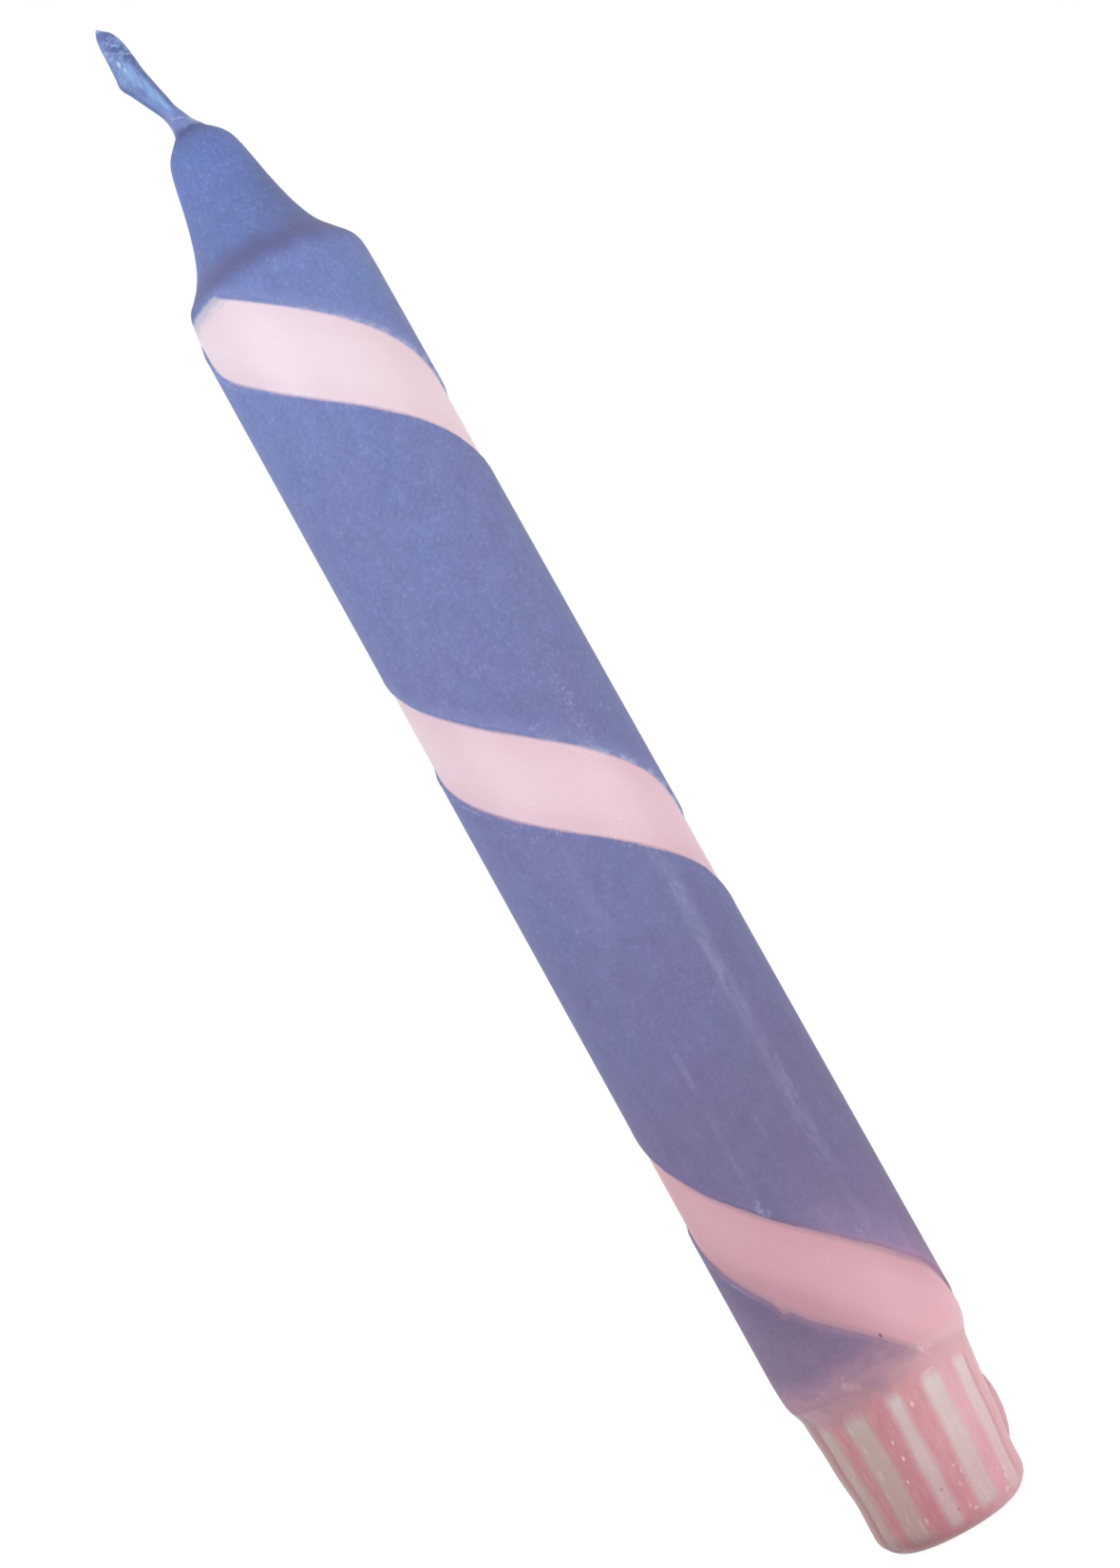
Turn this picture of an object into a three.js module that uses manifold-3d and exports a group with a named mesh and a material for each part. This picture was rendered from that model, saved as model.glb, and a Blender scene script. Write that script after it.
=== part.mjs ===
// A dip-dyed dinner candle: a white wax core with its wick, a pink coat all over it,
// and a blue coat over that with a spiral window, where a tape kept the blue wax off.
// Millimetres, +Z up along the candle, origin at the middle of the base.
// Angles round the candle are in turns, from the front (-Y) towards the right (+X).
import * as THREE from 'three';
import { mergeVertices } from 'three/addons/utils/BufferGeometryUtils.js';
import Module from 'manifold-3d';

// The layers, from the middle outwards
const coreRadius = 11;
const pinkThickness = 0.3;
const blueThickness = 0.35;
const blueRimThickness = 0.1;
const skinGap = 0.05;

// The foot, which goes into a holder, and the flare above it
const baseEdge = 3.2;
const footHeight = 16.6;
const footTaper = 1;
const footStep = 1.25;
const flareHeight = 5.6;
const flareSoftness = 1.55;

// The straight body, and the height over which the blue coat thins out to its rim
const bodyLength = 142.2;
const blueFade = 2.8;

// The crown: a rounded shoulder, a hollow bell curve, and a dome round the wick
const shoulderRound = 2.1;
const shoulderInset = 1;
const shoulderSlope = THREE.MathUtils.degToRad(35);
const bellHeight = 17.1;
const bellFootPull = 4.3;
const bellTopPull = 9.8;
const bellTopSlope = THREE.MathUtils.degToRad(11);
const domeRadius = 4.55;
const domeHeight = 3.5;
const domeBulge = 1.8;
const crownLand = 2;

// The ribs of the foot
const ribCount = 12;
const ribWidth = 2.4;
const ribSink = 0.04;
const ribBottom = 2.6;
const ribRise = 1.3;
const ribRoot = 2;

// The spiral window in the blue coat, along the candle's axis
const stripeFirstDrop = 11.8;
const stripePitch = 54.1;
const stripePitchGrowth = 2.95;
const stripeWidth = 12.6;
const stripeCeilingDrop = 0.2;

// The wick and the wax on its free end
const wickRadius = 0.75;
const wickFreeLength = 16.7;
const wickTipRadius = 0.12;
const wickTaperShare = 0.86;
const wickLean = 3.25;
const wickLeanShare = 0.58;
const wickHook = 0.75;
const leafFlatness = 0.66;
const leafFlatShare = 0.34;
// Shares of the free length, and the wax beside the wick there
const leafOutline = [
  [0, 1.15], [0.08, 0.72], [0.22, 0.5], [0.36, 0.78], [0.5, 1.1],
  [0.68, 0.96], [0.86, 0.63], [0.94, 0.5], [0.985, 0.15],
];

// The wax run on the right side of the foot
const runAngle = 92 / 360;
const runHeight = 10.2;
const runLength = 9.6;
const runWidth = 3.4;
const runProud = 0.65;

// How finely the round shapes are cut
const sidesRound = 48;
const sidesOfWick = 12;
const sidesOfLeaf = 24;
const stepsPerTurn = 24;
const stepsOfRibEnd = 2;
const stepsOfFreeWick = 14;

// How far a cutting shape runs past the face that it cuts
const cutOverrun = 1;

const bodyRadius = coreRadius + pinkThickness + blueThickness + 2 * skinGap;
const footTopRadius = bodyRadius - footStep;
const footBottomRadius = footTopRadius - footTaper;
const bodyBottom = footHeight + flareHeight;
const bodyTop = bodyBottom + bodyLength;
const bellStart = bodyTop + shoulderRound + shoulderInset * Math.tan(shoulderSlope);
const domeStart = bellStart + bellHeight;
const crownTop = domeStart + domeHeight;
const wickBore = wickRadius + skinGap;
const wickTip = crownTop + wickFreeLength;

const wasm = await Module();
wasm.setup();

// A closed mesh as a solid that can be cut and joined
function solidOf(geometry) {
  const bare = geometry.clone();
  bare.deleteAttribute('normal');
  bare.deleteAttribute('uv');
  const merged = mergeVertices(bare);
  const corners = merged.index.array;
  const triVerts = [];
  for (let i = 0; i < corners.length; i += 3) {
    const [a, b, c] = corners.slice(i, i + 3);
    if (a !== b && b !== c && c !== a) triVerts.push(a, b, c);
  }
  return new wasm.Manifold(new wasm.Mesh({
    numProp: 3,
    vertProperties: new Float32Array(merged.attributes.position.array),
    triVerts: new Uint32Array(triVerts),
  }));
}

function geometryOf(solid) {
  const { vertProperties, triVerts } = solid.getMesh();
  const geometry = new THREE.BufferGeometry();
  geometry.setAttribute('position', new THREE.BufferAttribute(vertProperties, 3));
  geometry.setIndex(new THREE.BufferAttribute(triVerts, 1));
  geometry.computeVertexNormals();
  return geometry;
}

// Moves every vertex of a geometry by a rule that changes a Vector3 in place
function reshape(geometry, rule) {
  const position = geometry.attributes.position;
  const vertex = new THREE.Vector3();
  for (let i = 0; i < position.count; i += 1) {
    vertex.fromBufferAttribute(position, i);
    rule(vertex);
    position.setXYZ(i, vertex.x, vertex.y, vertex.z);
  }
  return geometry;
}

// A profile of points (distance from the axis, height), turned round the candle's axis
function turned(profile, sides = sidesRound) {
  return new THREE.LatheGeometry(profile, sides).rotateX(Math.PI / 2);
}

// The points along curves that follow one another, each given with its steps
function pointsAlong(stretches) {
  const points = [stretches[0][0].getPoint(0)];
  for (const [curve, steps] of stretches) {
    points.push(...curve.getPoints(steps).slice(1));
  }
  return points;
}

// The finished outside of the candle, from the middle of the base up to the wick
function outerOutline() {
  const at = (r, z) => new THREE.Vector2(r, z);
  const slide = (from, angle, length) => (
    at(from.x + length * Math.cos(angle), from.y + length * Math.sin(angle))
  );
  const intoBell = Math.PI - shoulderSlope;
  const intoDome = Math.PI / 2 + bellTopSlope;
  const footBend = at(footTopRadius, footHeight + flareSoftness);
  const bodyBend = at(bodyRadius, bodyBottom - flareSoftness);
  const flareMiddle = footBend.clone().lerp(bodyBend, 0.5);
  const shoulderCorner = at(bodyRadius, bodyTop + shoulderRound);
  const bellFoot = slide(shoulderCorner, intoBell, shoulderInset / Math.cos(shoulderSlope));
  const bellTop = at(domeRadius, domeStart);
  const domeBend = slide(bellTop, intoDome, domeBulge);
  return {
    rimHeight: flareMiddle.y,
    fadeHeight: bodyBottom + blueFade,
    points: pointsAlong([
      [new THREE.LineCurve(at(0, 0), at(footBottomRadius - baseEdge, 0)), 1],
      [new THREE.EllipseCurve(footBottomRadius - baseEdge, baseEdge, baseEdge, baseEdge,
        -Math.PI / 2, 0), 3],
      [new THREE.LineCurve(at(footBottomRadius, baseEdge), at(footTopRadius, footHeight)), 1],
      [new THREE.QuadraticBezierCurve(at(footTopRadius, footHeight), footBend, flareMiddle), 2],
      [new THREE.QuadraticBezierCurve(flareMiddle, bodyBend, at(bodyRadius, bodyBottom)), 2],
      [new THREE.LineCurve(at(bodyRadius, bodyBottom), at(bodyRadius, bodyBottom + blueFade)), 1],
      [new THREE.LineCurve(at(bodyRadius, bodyBottom + blueFade), at(bodyRadius, bodyTop)), 1],
      [new THREE.QuadraticBezierCurve(at(bodyRadius, bodyTop), shoulderCorner, bellFoot), 2],
      [new THREE.CubicBezierCurve(bellFoot, slide(bellFoot, intoBell, bellFootPull),
        slide(bellTop, intoDome, -bellTopPull), bellTop), 5],
      [new THREE.QuadraticBezierCurve(bellTop, domeBend, at(crownLand, crownTop)), 2],
      [new THREE.LineCurve(at(crownLand, crownTop), at(wickBore, crownTop)), 1],
    ]),
  };
}

const outline = outerOutline();

// The surface that lies a depth under the finished outside, square to it
function surfaceUnder(points, depthAt) {
  return points.map((point, i) => {
    const before = points[Math.max(i - 1, 0)];
    const after = points[Math.min(i + 1, points.length - 1)];
    const arriving = point.clone().sub(before).normalize();
    const leaving = after.clone().sub(point).normalize();
    const along = arriving.clone().add(leaving).normalize();
    const inward = new THREE.Vector2(-along.y, along.x);
    const first = i === 0 ? leaving : arriving;
    const corner = -inward.x * first.y + inward.y * first.x;
    return inward.multiplyScalar(depthAt(point.y) / corner).add(point);
  });
}

const isClearOfRim = (z) => z > outline.rimHeight - skinGap;

function blueDepth(z) {
  const full = THREE.MathUtils.smoothstep(z, outline.rimHeight, outline.fadeHeight);
  return THREE.MathUtils.lerp(blueRimThickness, blueThickness, full);
}

const pinkDepth = (z) => (isClearOfRim(z) ? blueDepth(z) + skinGap : 0);
const coreDepth = (z) => pinkDepth(z) + pinkThickness + skinGap;

const pinkOutside = surfaceUnder(outline.points, pinkDepth);
const pinkInside = surfaceUnder(outline.points, (z) => pinkDepth(z) + pinkThickness);
const coreOutside = surfaceUnder(outline.points, coreDepth);
const blueOutside = outline.points.filter((point) => isClearOfRim(point.y));
const blueInside = surfaceUnder(outline.points, blueDepth)
  .filter((_, i) => isClearOfRim(outline.points[i].y));

// The upright prisms of the ribs, with rounded ends, pulled in by a gap all round
function ribPrisms(gap) {
  const halfWidth = ribWidth / 2 - gap;
  const low = ribBottom + ribWidth / 2;
  const high = footHeight + ribRise - ribWidth / 2;
  const end = new THREE.Shape();
  end.absarc(0, high, halfWidth, 0, Math.PI);
  end.absarc(0, low, halfWidth, Math.PI, 2 * Math.PI);
  const reach = bodyRadius + cutOverrun;
  const start = footBottomRadius - ribRoot;
  const prism = new THREE.ExtrudeGeometry(end, {
    depth: reach - start, bevelEnabled: false, curveSegments: stepsOfRibEnd,
  });
  prism.rotateX(Math.PI / 2).translate(0, -start, 0);
  const prisms = [];
  for (let i = 0; i < ribCount; i += 1) {
    prisms.push(solidOf(prism.clone().rotateZ((2 * Math.PI * i) / ribCount)));
  }
  return wasm.Manifold.union(prisms);
}

// The white core, with the ribs that stay bare in the slots of the pink coat
function coreCandle() {
  const inner = coreOutside.slice(1);
  const boreFoot = new THREE.Vector2(wickBore, coreOutside[0].y);
  const plain = solidOf(turned([boreFoot, ...inner, boreFoot]));
  const ribFace = surfaceUnder(outline.points, () => ribSink);
  const ribSeat = ribFace.filter((point, i) => outline.points[i].y <= bodyBottom);
  const top = new THREE.Vector2(0, bodyBottom);
  const ribs = solidOf(turned([...ribSeat, top])).intersect(ribPrisms(skinGap));
  return geometryOf(plain.add(ribs));
}

function pinkDipCoat() {
  const shell = solidOf(turned([...pinkOutside, ...pinkInside.slice().reverse()]));
  return geometryOf(shell.subtract(ribPrisms(0)));
}

// The middle of the window at a number of turns from the front, counted downwards
function stripeMiddle(turns) {
  const first = bodyTop - stripeFirstDrop;
  return first - stripePitch * turns - stripePitchGrowth * turns * turns;
}

// The turns at which that middle passes a height
function stripeTurnsAt(height) {
  const drop = bodyTop - stripeFirstDrop - height;
  const steepness = Math.sqrt(stripePitch * stripePitch + 4 * stripePitchGrowth * drop);
  return (2 * drop) / (stripePitch + steepness);
}

// The tape's track as a thick band wound round the candle, cut off level at the shoulder,
// and long enough to run out under the blue rim
function stripeBand() {
  const ceiling = bodyTop - stripeCeilingDrop;
  const start = stripeTurnsAt(ceiling + stripeWidth);
  const end = stripeTurnsAt(outline.rimHeight - stripeWidth);
  const steps = Math.ceil((end - start) * stepsPerTurn);
  const band = new THREE.BoxGeometry(1, 1, 1, steps, 1, 1);
  reshape(band, (vertex) => {
    const turns = THREE.MathUtils.lerp(start, end, vertex.x + 0.5);
    const radius = bodyRadius + vertex.z * 2 * footStep;
    const height = stripeMiddle(turns) + vertex.y * stripeWidth;
    const angle = 2 * Math.PI * turns;
    vertex.set(radius * Math.sin(angle), -radius * Math.cos(angle), height);
  });
  const above = new THREE.CylinderGeometry(2 * bodyRadius, 2 * bodyRadius, bodyLength, sidesRound)
    .rotateX(Math.PI / 2)
    .translate(0, 0, ceiling + bodyLength / 2);
  return solidOf(band).subtract(solidOf(above));
}

function blueDipCoat() {
  const loop = [...blueOutside, ...blueInside.slice().reverse(), blueOutside[0]];
  return geometryOf(solidOf(turned(loop)).subtract(stripeBand()));
}

const shareOfFreeEnd = (z) => (z - crownTop) / wickFreeLength;

// The free end leans to the left as it leaves the crown, and its tip hooks a little more
function leanWithWick(geometry) {
  return reshape(geometry, (vertex) => {
    const share = shareOfFreeEnd(vertex.z);
    const hook = Math.max(0, share - wickLeanShare) / (1 - wickLeanShare);
    const lean = THREE.MathUtils.smoothstep(share, 0, wickLeanShare);
    vertex.x -= wickLean * lean + wickHook * hook * hook;
  });
}

function wickRadiusAt(share) {
  const taper = THREE.MathUtils.clamp((share - wickTaperShare) / (1 - wickTaperShare), 0, 1);
  return THREE.MathUtils.lerp(wickRadius, wickTipRadius, taper);
}

// The wick's outline, made wider by a gap for its bore in the wax
function wickOutline(from, gap) {
  const points = [new THREE.Vector2(0, from), new THREE.Vector2(wickRadius + gap, from)];
  for (let i = 0; i <= stepsOfFreeWick; i += 1) {
    const share = i / stepsOfFreeWick;
    const z = crownTop + share * wickFreeLength;
    points.push(new THREE.Vector2(wickRadiusAt(share) + gap, z));
  }
  points.push(new THREE.Vector2(0, wickTip));
  return points;
}

function wick() {
  const from = coreOutside[0].y;
  return leanWithWick(turned(wickOutline(from, 0), sidesOfWick));
}

// The wax on the free end: a collar on the crown, a narrow neck and a flat leaf
function wickWaxCoat() {
  const curve = new THREE.SplineCurve(leafOutline.map(([share, wax]) => (
    new THREE.Vector2(wickRadiusAt(share) + skinGap + wax, crownTop + share * wickFreeLength)
  )));
  const side = curve.getPoints(2 * leafOutline.length);
  side.forEach((point) => { point.y += skinGap; });
  const low = new THREE.Vector2(0, side[0].y);
  const high = new THREE.Vector2(0, side.at(-1).y);
  const leaf = reshape(turned([low, ...side, high], sidesOfLeaf), (vertex) => {
    const flat = THREE.MathUtils.smoothstep(shareOfFreeEnd(vertex.z), 0, leafFlatShare);
    vertex.y *= THREE.MathUtils.lerp(1, leafFlatness, flat);
  });
  const bore = turned(wickOutline(crownTop - cutOverrun, skinGap), sidesOfWick);
  return geometryOf(solidOf(leanWithWick(leaf)).subtract(solidOf(leanWithWick(bore))));
}

// A drop of pink wax that ran down the foot, seated on the pink coat's surface: an egg
// whose middle lies as deep under that surface as the run stands proud of it
function footWaxRun() {
  const slope = Math.atan(footTaper / (footHeight - baseEdge));
  const share = (runHeight - baseEdge) / (footHeight - baseEdge);
  const seat = THREE.MathUtils.lerp(footBottomRadius, footTopRadius, share);
  const drop = new THREE.SphereGeometry(1, sidesOfWick, sidesOfWick)
    .rotateX(Math.PI / 2)
    .scale(runWidth / 2, runProud * 2, runLength / 2)
    .rotateX(slope)
    .translate(0, -seat + runProud, runHeight)
    .rotateZ(2 * Math.PI * runAngle);
  const skin = surfaceUnder(outline.points, () => -skinGap);
  const clear = skin.filter((point, i) => outline.points[i].y <= bodyBottom);
  const under = turned([...clear, new THREE.Vector2(0, bodyBottom)]);
  return geometryOf(solidOf(drop).subtract(solidOf(under)));
}

const waxes = {
  white: { color: 0xece6e2, roughness: 0.5, metalness: 0 },
  pink: { color: 0xe9b3c0, roughness: 0.45, metalness: 0 },
  blue: { color: 0x7681bd, roughness: 0.6, metalness: 0 },
  paleBlue: { color: 0x7f9ad0, roughness: 0.35, metalness: 0 },
  cotton: { color: 0xe8e2d2, roughness: 0.9, metalness: 0 },
};

function piece(name, geometry, finish) {
  const mesh = new THREE.Mesh(geometry, new THREE.MeshStandardMaterial(finish));
  mesh.name = name;
  return mesh;
}

const candle = new THREE.Group();
candle.add(piece('wick', wick(), waxes.cotton));
candle.add(piece('core_candle', coreCandle(), waxes.white));
candle.add(piece('pink_dip_coat', pinkDipCoat(), waxes.pink));
candle.add(piece('blue_dip_coat', blueDipCoat(), waxes.blue));
candle.add(piece('wick_wax_coat', wickWaxCoat(), waxes.paleBlue));
candle.add(piece('foot_wax_run', footWaxRun(), waxes.pink));

export default candle;
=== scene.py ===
# %% [markdown]
# A dinner candle that was dipped twice, modelled as it was made. A white candle got a
# coat of pink wax, a tape was wound round it, and the blue dip covered the rest. Pulled
# off, the tape left a pink spiral that lies a third of a millimetre deep in the blue.
# The packed model is loaded first: it fixes the sizes, and nothing in it is moved.

import math

import bmesh
import bpy
from mathutils import Matrix, Vector, noise


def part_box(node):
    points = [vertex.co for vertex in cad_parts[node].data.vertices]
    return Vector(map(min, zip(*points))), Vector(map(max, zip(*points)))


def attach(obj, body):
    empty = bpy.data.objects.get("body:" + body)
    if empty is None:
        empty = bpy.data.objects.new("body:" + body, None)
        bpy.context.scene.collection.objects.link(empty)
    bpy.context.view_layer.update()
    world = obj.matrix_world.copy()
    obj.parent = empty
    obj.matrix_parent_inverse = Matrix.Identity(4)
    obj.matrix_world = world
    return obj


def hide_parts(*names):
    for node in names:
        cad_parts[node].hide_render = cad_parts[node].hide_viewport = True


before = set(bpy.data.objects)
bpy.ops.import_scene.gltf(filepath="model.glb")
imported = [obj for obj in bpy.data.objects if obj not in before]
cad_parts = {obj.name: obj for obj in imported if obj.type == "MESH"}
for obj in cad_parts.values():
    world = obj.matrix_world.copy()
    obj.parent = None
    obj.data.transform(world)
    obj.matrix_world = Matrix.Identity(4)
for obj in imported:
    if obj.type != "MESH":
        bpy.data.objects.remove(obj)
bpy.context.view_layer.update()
MM = 0.001
print("nodes:", sorted(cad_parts))


# %% [markdown]
# Every size below is in millimetres, because a candle is measured in them. What the
# model's boxes say is read from them: the body's radius, the heights of the blue rim
# and of the crown, and the wick's tip. The rest are the candle's own driving sizes.

# %% Sizes from the frame
def box_of(node):
    low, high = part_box(node)
    return low / MM, high / MM


blue_low, blue_high = box_of("blue_dip_coat")
body_radius = blue_high.x
rim_height = blue_low.z
crown_top = blue_high.z
wick_low, wick_high = box_of("wick")
print(f"body {2 * body_radius:.2f} across, crown at {crown_top:.1f}, wick tip at {wick_high.z:.1f}")

# %% Driving sizes
skin_gap = 0.05
pink_thickness = 0.3
blue_thickness = 0.35
blue_rim_thickness = 0.1
base_edge = 3.2
foot_height = 16.6
foot_taper = 1.0
foot_step = 1.25
flare_height = 5.6
flare_softness = 1.55
body_length = 142.2
blue_fade = 2.8
shoulder_round = 2.1
shoulder_inset = 1.0
shoulder_slope = math.radians(35)
bell_height = 17.1
dome_radius = 4.55
crown_land = 2.0
wick_radius = 0.75
stripe_first_drop = 11.8
stripe_pitch = 54.1
stripe_pitch_growth = 2.95
stripe_width = 12.6
window_rise = 0.8

body_bottom = foot_height + flare_height
body_top = body_bottom + body_length
foot_top_radius = body_radius - foot_step
foot_bottom_radius = foot_top_radius - foot_taper
bell_start = body_top + shoulder_round + shoulder_inset * math.tan(shoulder_slope)
dome_start = bell_start + bell_height
wick_bore = wick_radius + skin_gap
first_middle = body_top - stripe_first_drop
window_level_top = body_top + window_rise
track_squareness = math.cos(math.atan(stripe_pitch / (2 * math.pi * body_radius)))
print(f"body from {body_bottom:.1f} to {body_top:.1f}, bell to {dome_start:.1f}")

# %% [markdown]
# The photograph was taken from a third of a metre away, a little below the middle of
# the candle, with the camera turned so that the candle leans to the left. The lens is
# long for that distance, so the sides stay almost parallel. The camera is made first,
# because every later choice is judged through it.

# %% Camera
def put_in_scene(name, data):
    made = bpy.data.objects.new(name, data)
    bpy.context.scene.collection.objects.link(made)
    return made


camera_place = Vector((0.63, -322.8, 62.7))
camera_tilt_up = math.radians(5.94)
camera_roll = math.radians(29.11)
picture_height = 1650
focal_pixels = 2900
film_width = 36
nearest_seen = 0.01

camera_data = bpy.data.cameras.new("photo_camera")
camera_data.sensor_width = film_width
camera_data.lens = film_width * focal_pixels / picture_height
camera_data.clip_start = nearest_seen
camera = put_in_scene("photo_camera", camera_data)
camera.matrix_world = (
    Matrix.Translation(camera_place * MM)
    @ Matrix.Rotation(math.pi / 2 + camera_tilt_up, 4, "X")
    @ Matrix.Rotation(-camera_roll, 4, "Z")
)
bpy.context.scene.camera = camera
print(f"lens {camera_data.lens:.1f} mm")


# %% [markdown]
# All the candle's layers follow one outline, from the middle of the base up to the
# wick. It could be drawn as a long list of points, but a few lines and curves between
# named corners say more and can be walked as finely as each piece needs. A bend is a
# curve with one corner, and a sweep is one that leaves and arrives in given directions.

# %% Curves for outlines
def line(start, end):
    return lambda share: start.lerp(end, share)


def bend(start, corner, end):
    return lambda share: start.lerp(corner, share).lerp(corner.lerp(end, share), share)


def sweep(start, leave, arrive, end):
    first = bend(start, leave, arrive)
    second = bend(leave, arrive, end)
    return lambda share: first(share).lerp(second(share), share)


def quarter_round(centre, radius):
    def at(share):
        angle = math.pi / 2 * (share - 1)
        return centre + radius * Vector((math.cos(angle), math.sin(angle)))
    return at


def slide(start, angle, length):
    return start + length * Vector((math.cos(angle), math.sin(angle)))


def through(rows, place):
    """The values at a place along rows that start with their own place, on smooth curves."""
    places = [row[0] for row in rows]
    place = min(max(place, places[0]), places[-1])
    last = len(rows) - 2
    index = min(max(i for i in range(len(rows) - 1) if places[i] <= place), last)
    ends = [rows[max(index - 1, 0)], rows[index], rows[index + 1], rows[min(index + 2, last + 1)]]
    share = (place - ends[1][0]) / (ends[2][0] - ends[1][0])
    values = []
    for column in range(1, len(rows[0])):
        a, b, c, d = (row[column] for row in ends)
        before = (c - a) / (ends[2][0] - ends[0][0]) * (ends[2][0] - ends[1][0])
        after = (d - b) / (ends[3][0] - ends[1][0]) * (ends[2][0] - ends[1][0])
        cube = 2 * b - 2 * c + before + after
        square = 3 * c - 3 * b - 2 * before - after
        values.append(((cube * share + square) * share + before) * share + b)
    return values


hump = [(0, 0), (1, 1), (2, 0)]
print(f"a hump through three points is {through(hump, 0.5)[0]:.3f} high at a quarter")

# %% The candle's outline
bell_foot_pull = 4.3
bell_top_pull = 9.8
dome_bulge = 1.8
low_body_length = 14
into_bell = math.pi - shoulder_slope
into_dome = math.pi / 2 + math.radians(11)

foot_low = Vector((foot_bottom_radius, base_edge))
foot_high = Vector((foot_top_radius, foot_height))
foot_bend = foot_high + Vector((0, flare_softness))
body_low = Vector((body_radius, body_bottom))
body_bend = body_low - Vector((0, flare_softness))
flare_middle = foot_bend.lerp(body_bend, 0.5)
body_split = body_low + Vector((0, low_body_length))
body_high = Vector((body_radius, body_top))
shoulder_corner = body_high + Vector((0, shoulder_round))
bell_foot = slide(shoulder_corner, into_bell, shoulder_inset / math.cos(shoulder_slope))
bell_top = Vector((dome_radius, dome_start))
land_edge = Vector((crown_land, crown_top))
base_rim = Vector((foot_bottom_radius - base_edge, 0))

OUTLINE = {
    "base": line(Vector((0, 0)), base_rim),
    "base edge": quarter_round(base_rim + Vector((0, base_edge)), base_edge),
    "foot": line(foot_low, foot_high),
    "low flare": bend(foot_high, foot_bend, flare_middle),
    "high flare": bend(flare_middle, body_bend, body_low),
    "low body": line(body_low, body_split),
    "body": line(body_split, body_high),
    "shoulder": bend(body_high, shoulder_corner, bell_foot),
    "bell": sweep(
        bell_foot,
        slide(bell_foot, into_bell, bell_foot_pull),
        slide(bell_top, into_dome, -bell_top_pull),
        bell_top,
    ),
    "dome": bend(bell_top, slide(bell_top, into_dome, dome_bulge), land_edge),
    "land": line(land_edge, Vector((wick_bore, crown_top))),
}


def walk(steps):
    """The outline's points along the stretches that are named, each with its steps."""
    names = list(steps)
    points = [OUTLINE[names[0]](0)]
    for name in names:
        points += [OUTLINE[name](i / steps[name]) for i in range(1, steps[name] + 1)]
    return points


fine_steps = 60
fine_outline = walk({name: fine_steps for name in OUTLINE})
print(f"outline of {len(OUTLINE)} stretches, {len(fine_outline)} points when walked finely")


# %% [markdown]
# A piece is a bmesh in millimetres until it is done. One function finishes them all: it
# shrinks the mesh to metres, makes the object at the origin, smooths its shading, hangs
# it on the candle's one body and hides the model's solid that it stands for. It also
# counts open edges, because a wax solid has none.

# %% Helpers for pieces
WELD = 0.002
print(f"points closer than {WELD} mm are welded")


def mesh_object(name, bm, material):
    """An object at the origin, with the bmesh as its mesh."""
    mesh = bpy.data.meshes.new(name)
    bm.to_mesh(mesh)
    bm.free()
    mesh.materials.append(material)
    return put_in_scene(name, mesh)


def finish_piece(name, bm, material, node):
    open_edges = sum(1 for edge in bm.edges if len(edge.link_faces) != 2)
    bmesh.ops.scale(bm, vec=(MM, MM, MM), verts=bm.verts)
    piece = mesh_object(name, bm, material)
    mesh = piece.data
    mesh.polygons.foreach_set("use_smooth", [True] * len(mesh.polygons))
    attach(piece, "root")
    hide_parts(node)
    mesh.calc_loop_triangles()
    print(f"{name}: {len(mesh.loop_triangles)} triangles, {open_edges} open edges")


def spin_sheet(bm, outline, sides):
    """Turns an outline round the candle's axis, starting at the front, as one open sheet."""
    verts = [bm.verts.new((0, -point.x, point.y)) for point in outline]
    edges = [bm.edges.new(pair) for pair in zip(verts, verts[1:])]
    bmesh.ops.spin(
        bm, geom=verts + edges, cent=(0, 0, 0), axis=(0, 0, 1), dvec=(0, 0, 0),
        angle=2 * math.pi, space=Matrix.Identity(4), steps=sides,
        use_merge=True, use_normal_flip=False, use_duplicate=False,
    )
    bmesh.ops.remove_doubles(bm, verts=bm.verts, dist=WELD)


def join_rims(bm):
    """Joins the two open rims of a mesh by a ring of faces."""
    rims = [edge for edge in bm.edges if edge.is_boundary]
    bmesh.ops.bridge_loops(bm, edges=rims)


def face_outwards(bm):
    """Points a sheet's faces away from the candle's axis."""
    bmesh.ops.recalc_face_normals(bm, faces=bm.faces)
    lean = 0
    for face in bm.faces:
        middle = face.calc_center_median()
        lean += face.normal.dot(Vector((middle.x, middle.y, 0)))
    if lean < 0:
        bmesh.ops.reverse_faces(bm, faces=bm.faces)
    bm.normal_update()


# %% [markdown]
# Layers of wax are thin and follow the surface under them, so each is made from one
# sheet on the candle's finished outline. The sheet is doubled, the copy is turned inside
# out, and both are pushed in along the surface's own direction: the outer one by the
# depth at which the layer starts, the copy by the depth at which it ends. Along the
# sheet's border the two can be welded, and the layer runs out in a sharp edge.

# %% A layer of wax from a sheet
def make_layer(bm, depths, closes):
    """Gives the sheet its thickness. depths(point) is how deep the layer starts and ends.

    Where closes is true, the layer ends in a sharp edge along the sheet's border.
    """
    bm.normal_update()
    there = [(vert, vert.co.copy(), vert.normal.copy()) for vert in bm.verts]
    border = {vert for vert in bm.verts if closes and vert.is_boundary}
    doubled = bmesh.ops.duplicate(bm, geom=bm.verts[:] + bm.edges[:] + bm.faces[:])
    twin_of = doubled["vert_map"]
    inner_faces = [item for item in doubled["geom"] if isinstance(item, bmesh.types.BMFace)]
    bmesh.ops.reverse_faces(bm, faces=inner_faces)
    for vert, place, outward in there:
        starts, ends = depths(place)
        starts = ends if vert in border else starts
        vert.co = place - outward * starts
        twin_of[vert].co = place - outward * ends
    bmesh.ops.weld_verts(bm, targetmap={twin_of[vert]: vert for vert in border})


def smooth(value, low, high):
    """0 below low, 1 above high, and an S-curve between. low may be the larger one."""
    share = min(max((value - low) / (high - low), 0), 1)
    return share * share * (3 - 2 * share)


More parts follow.
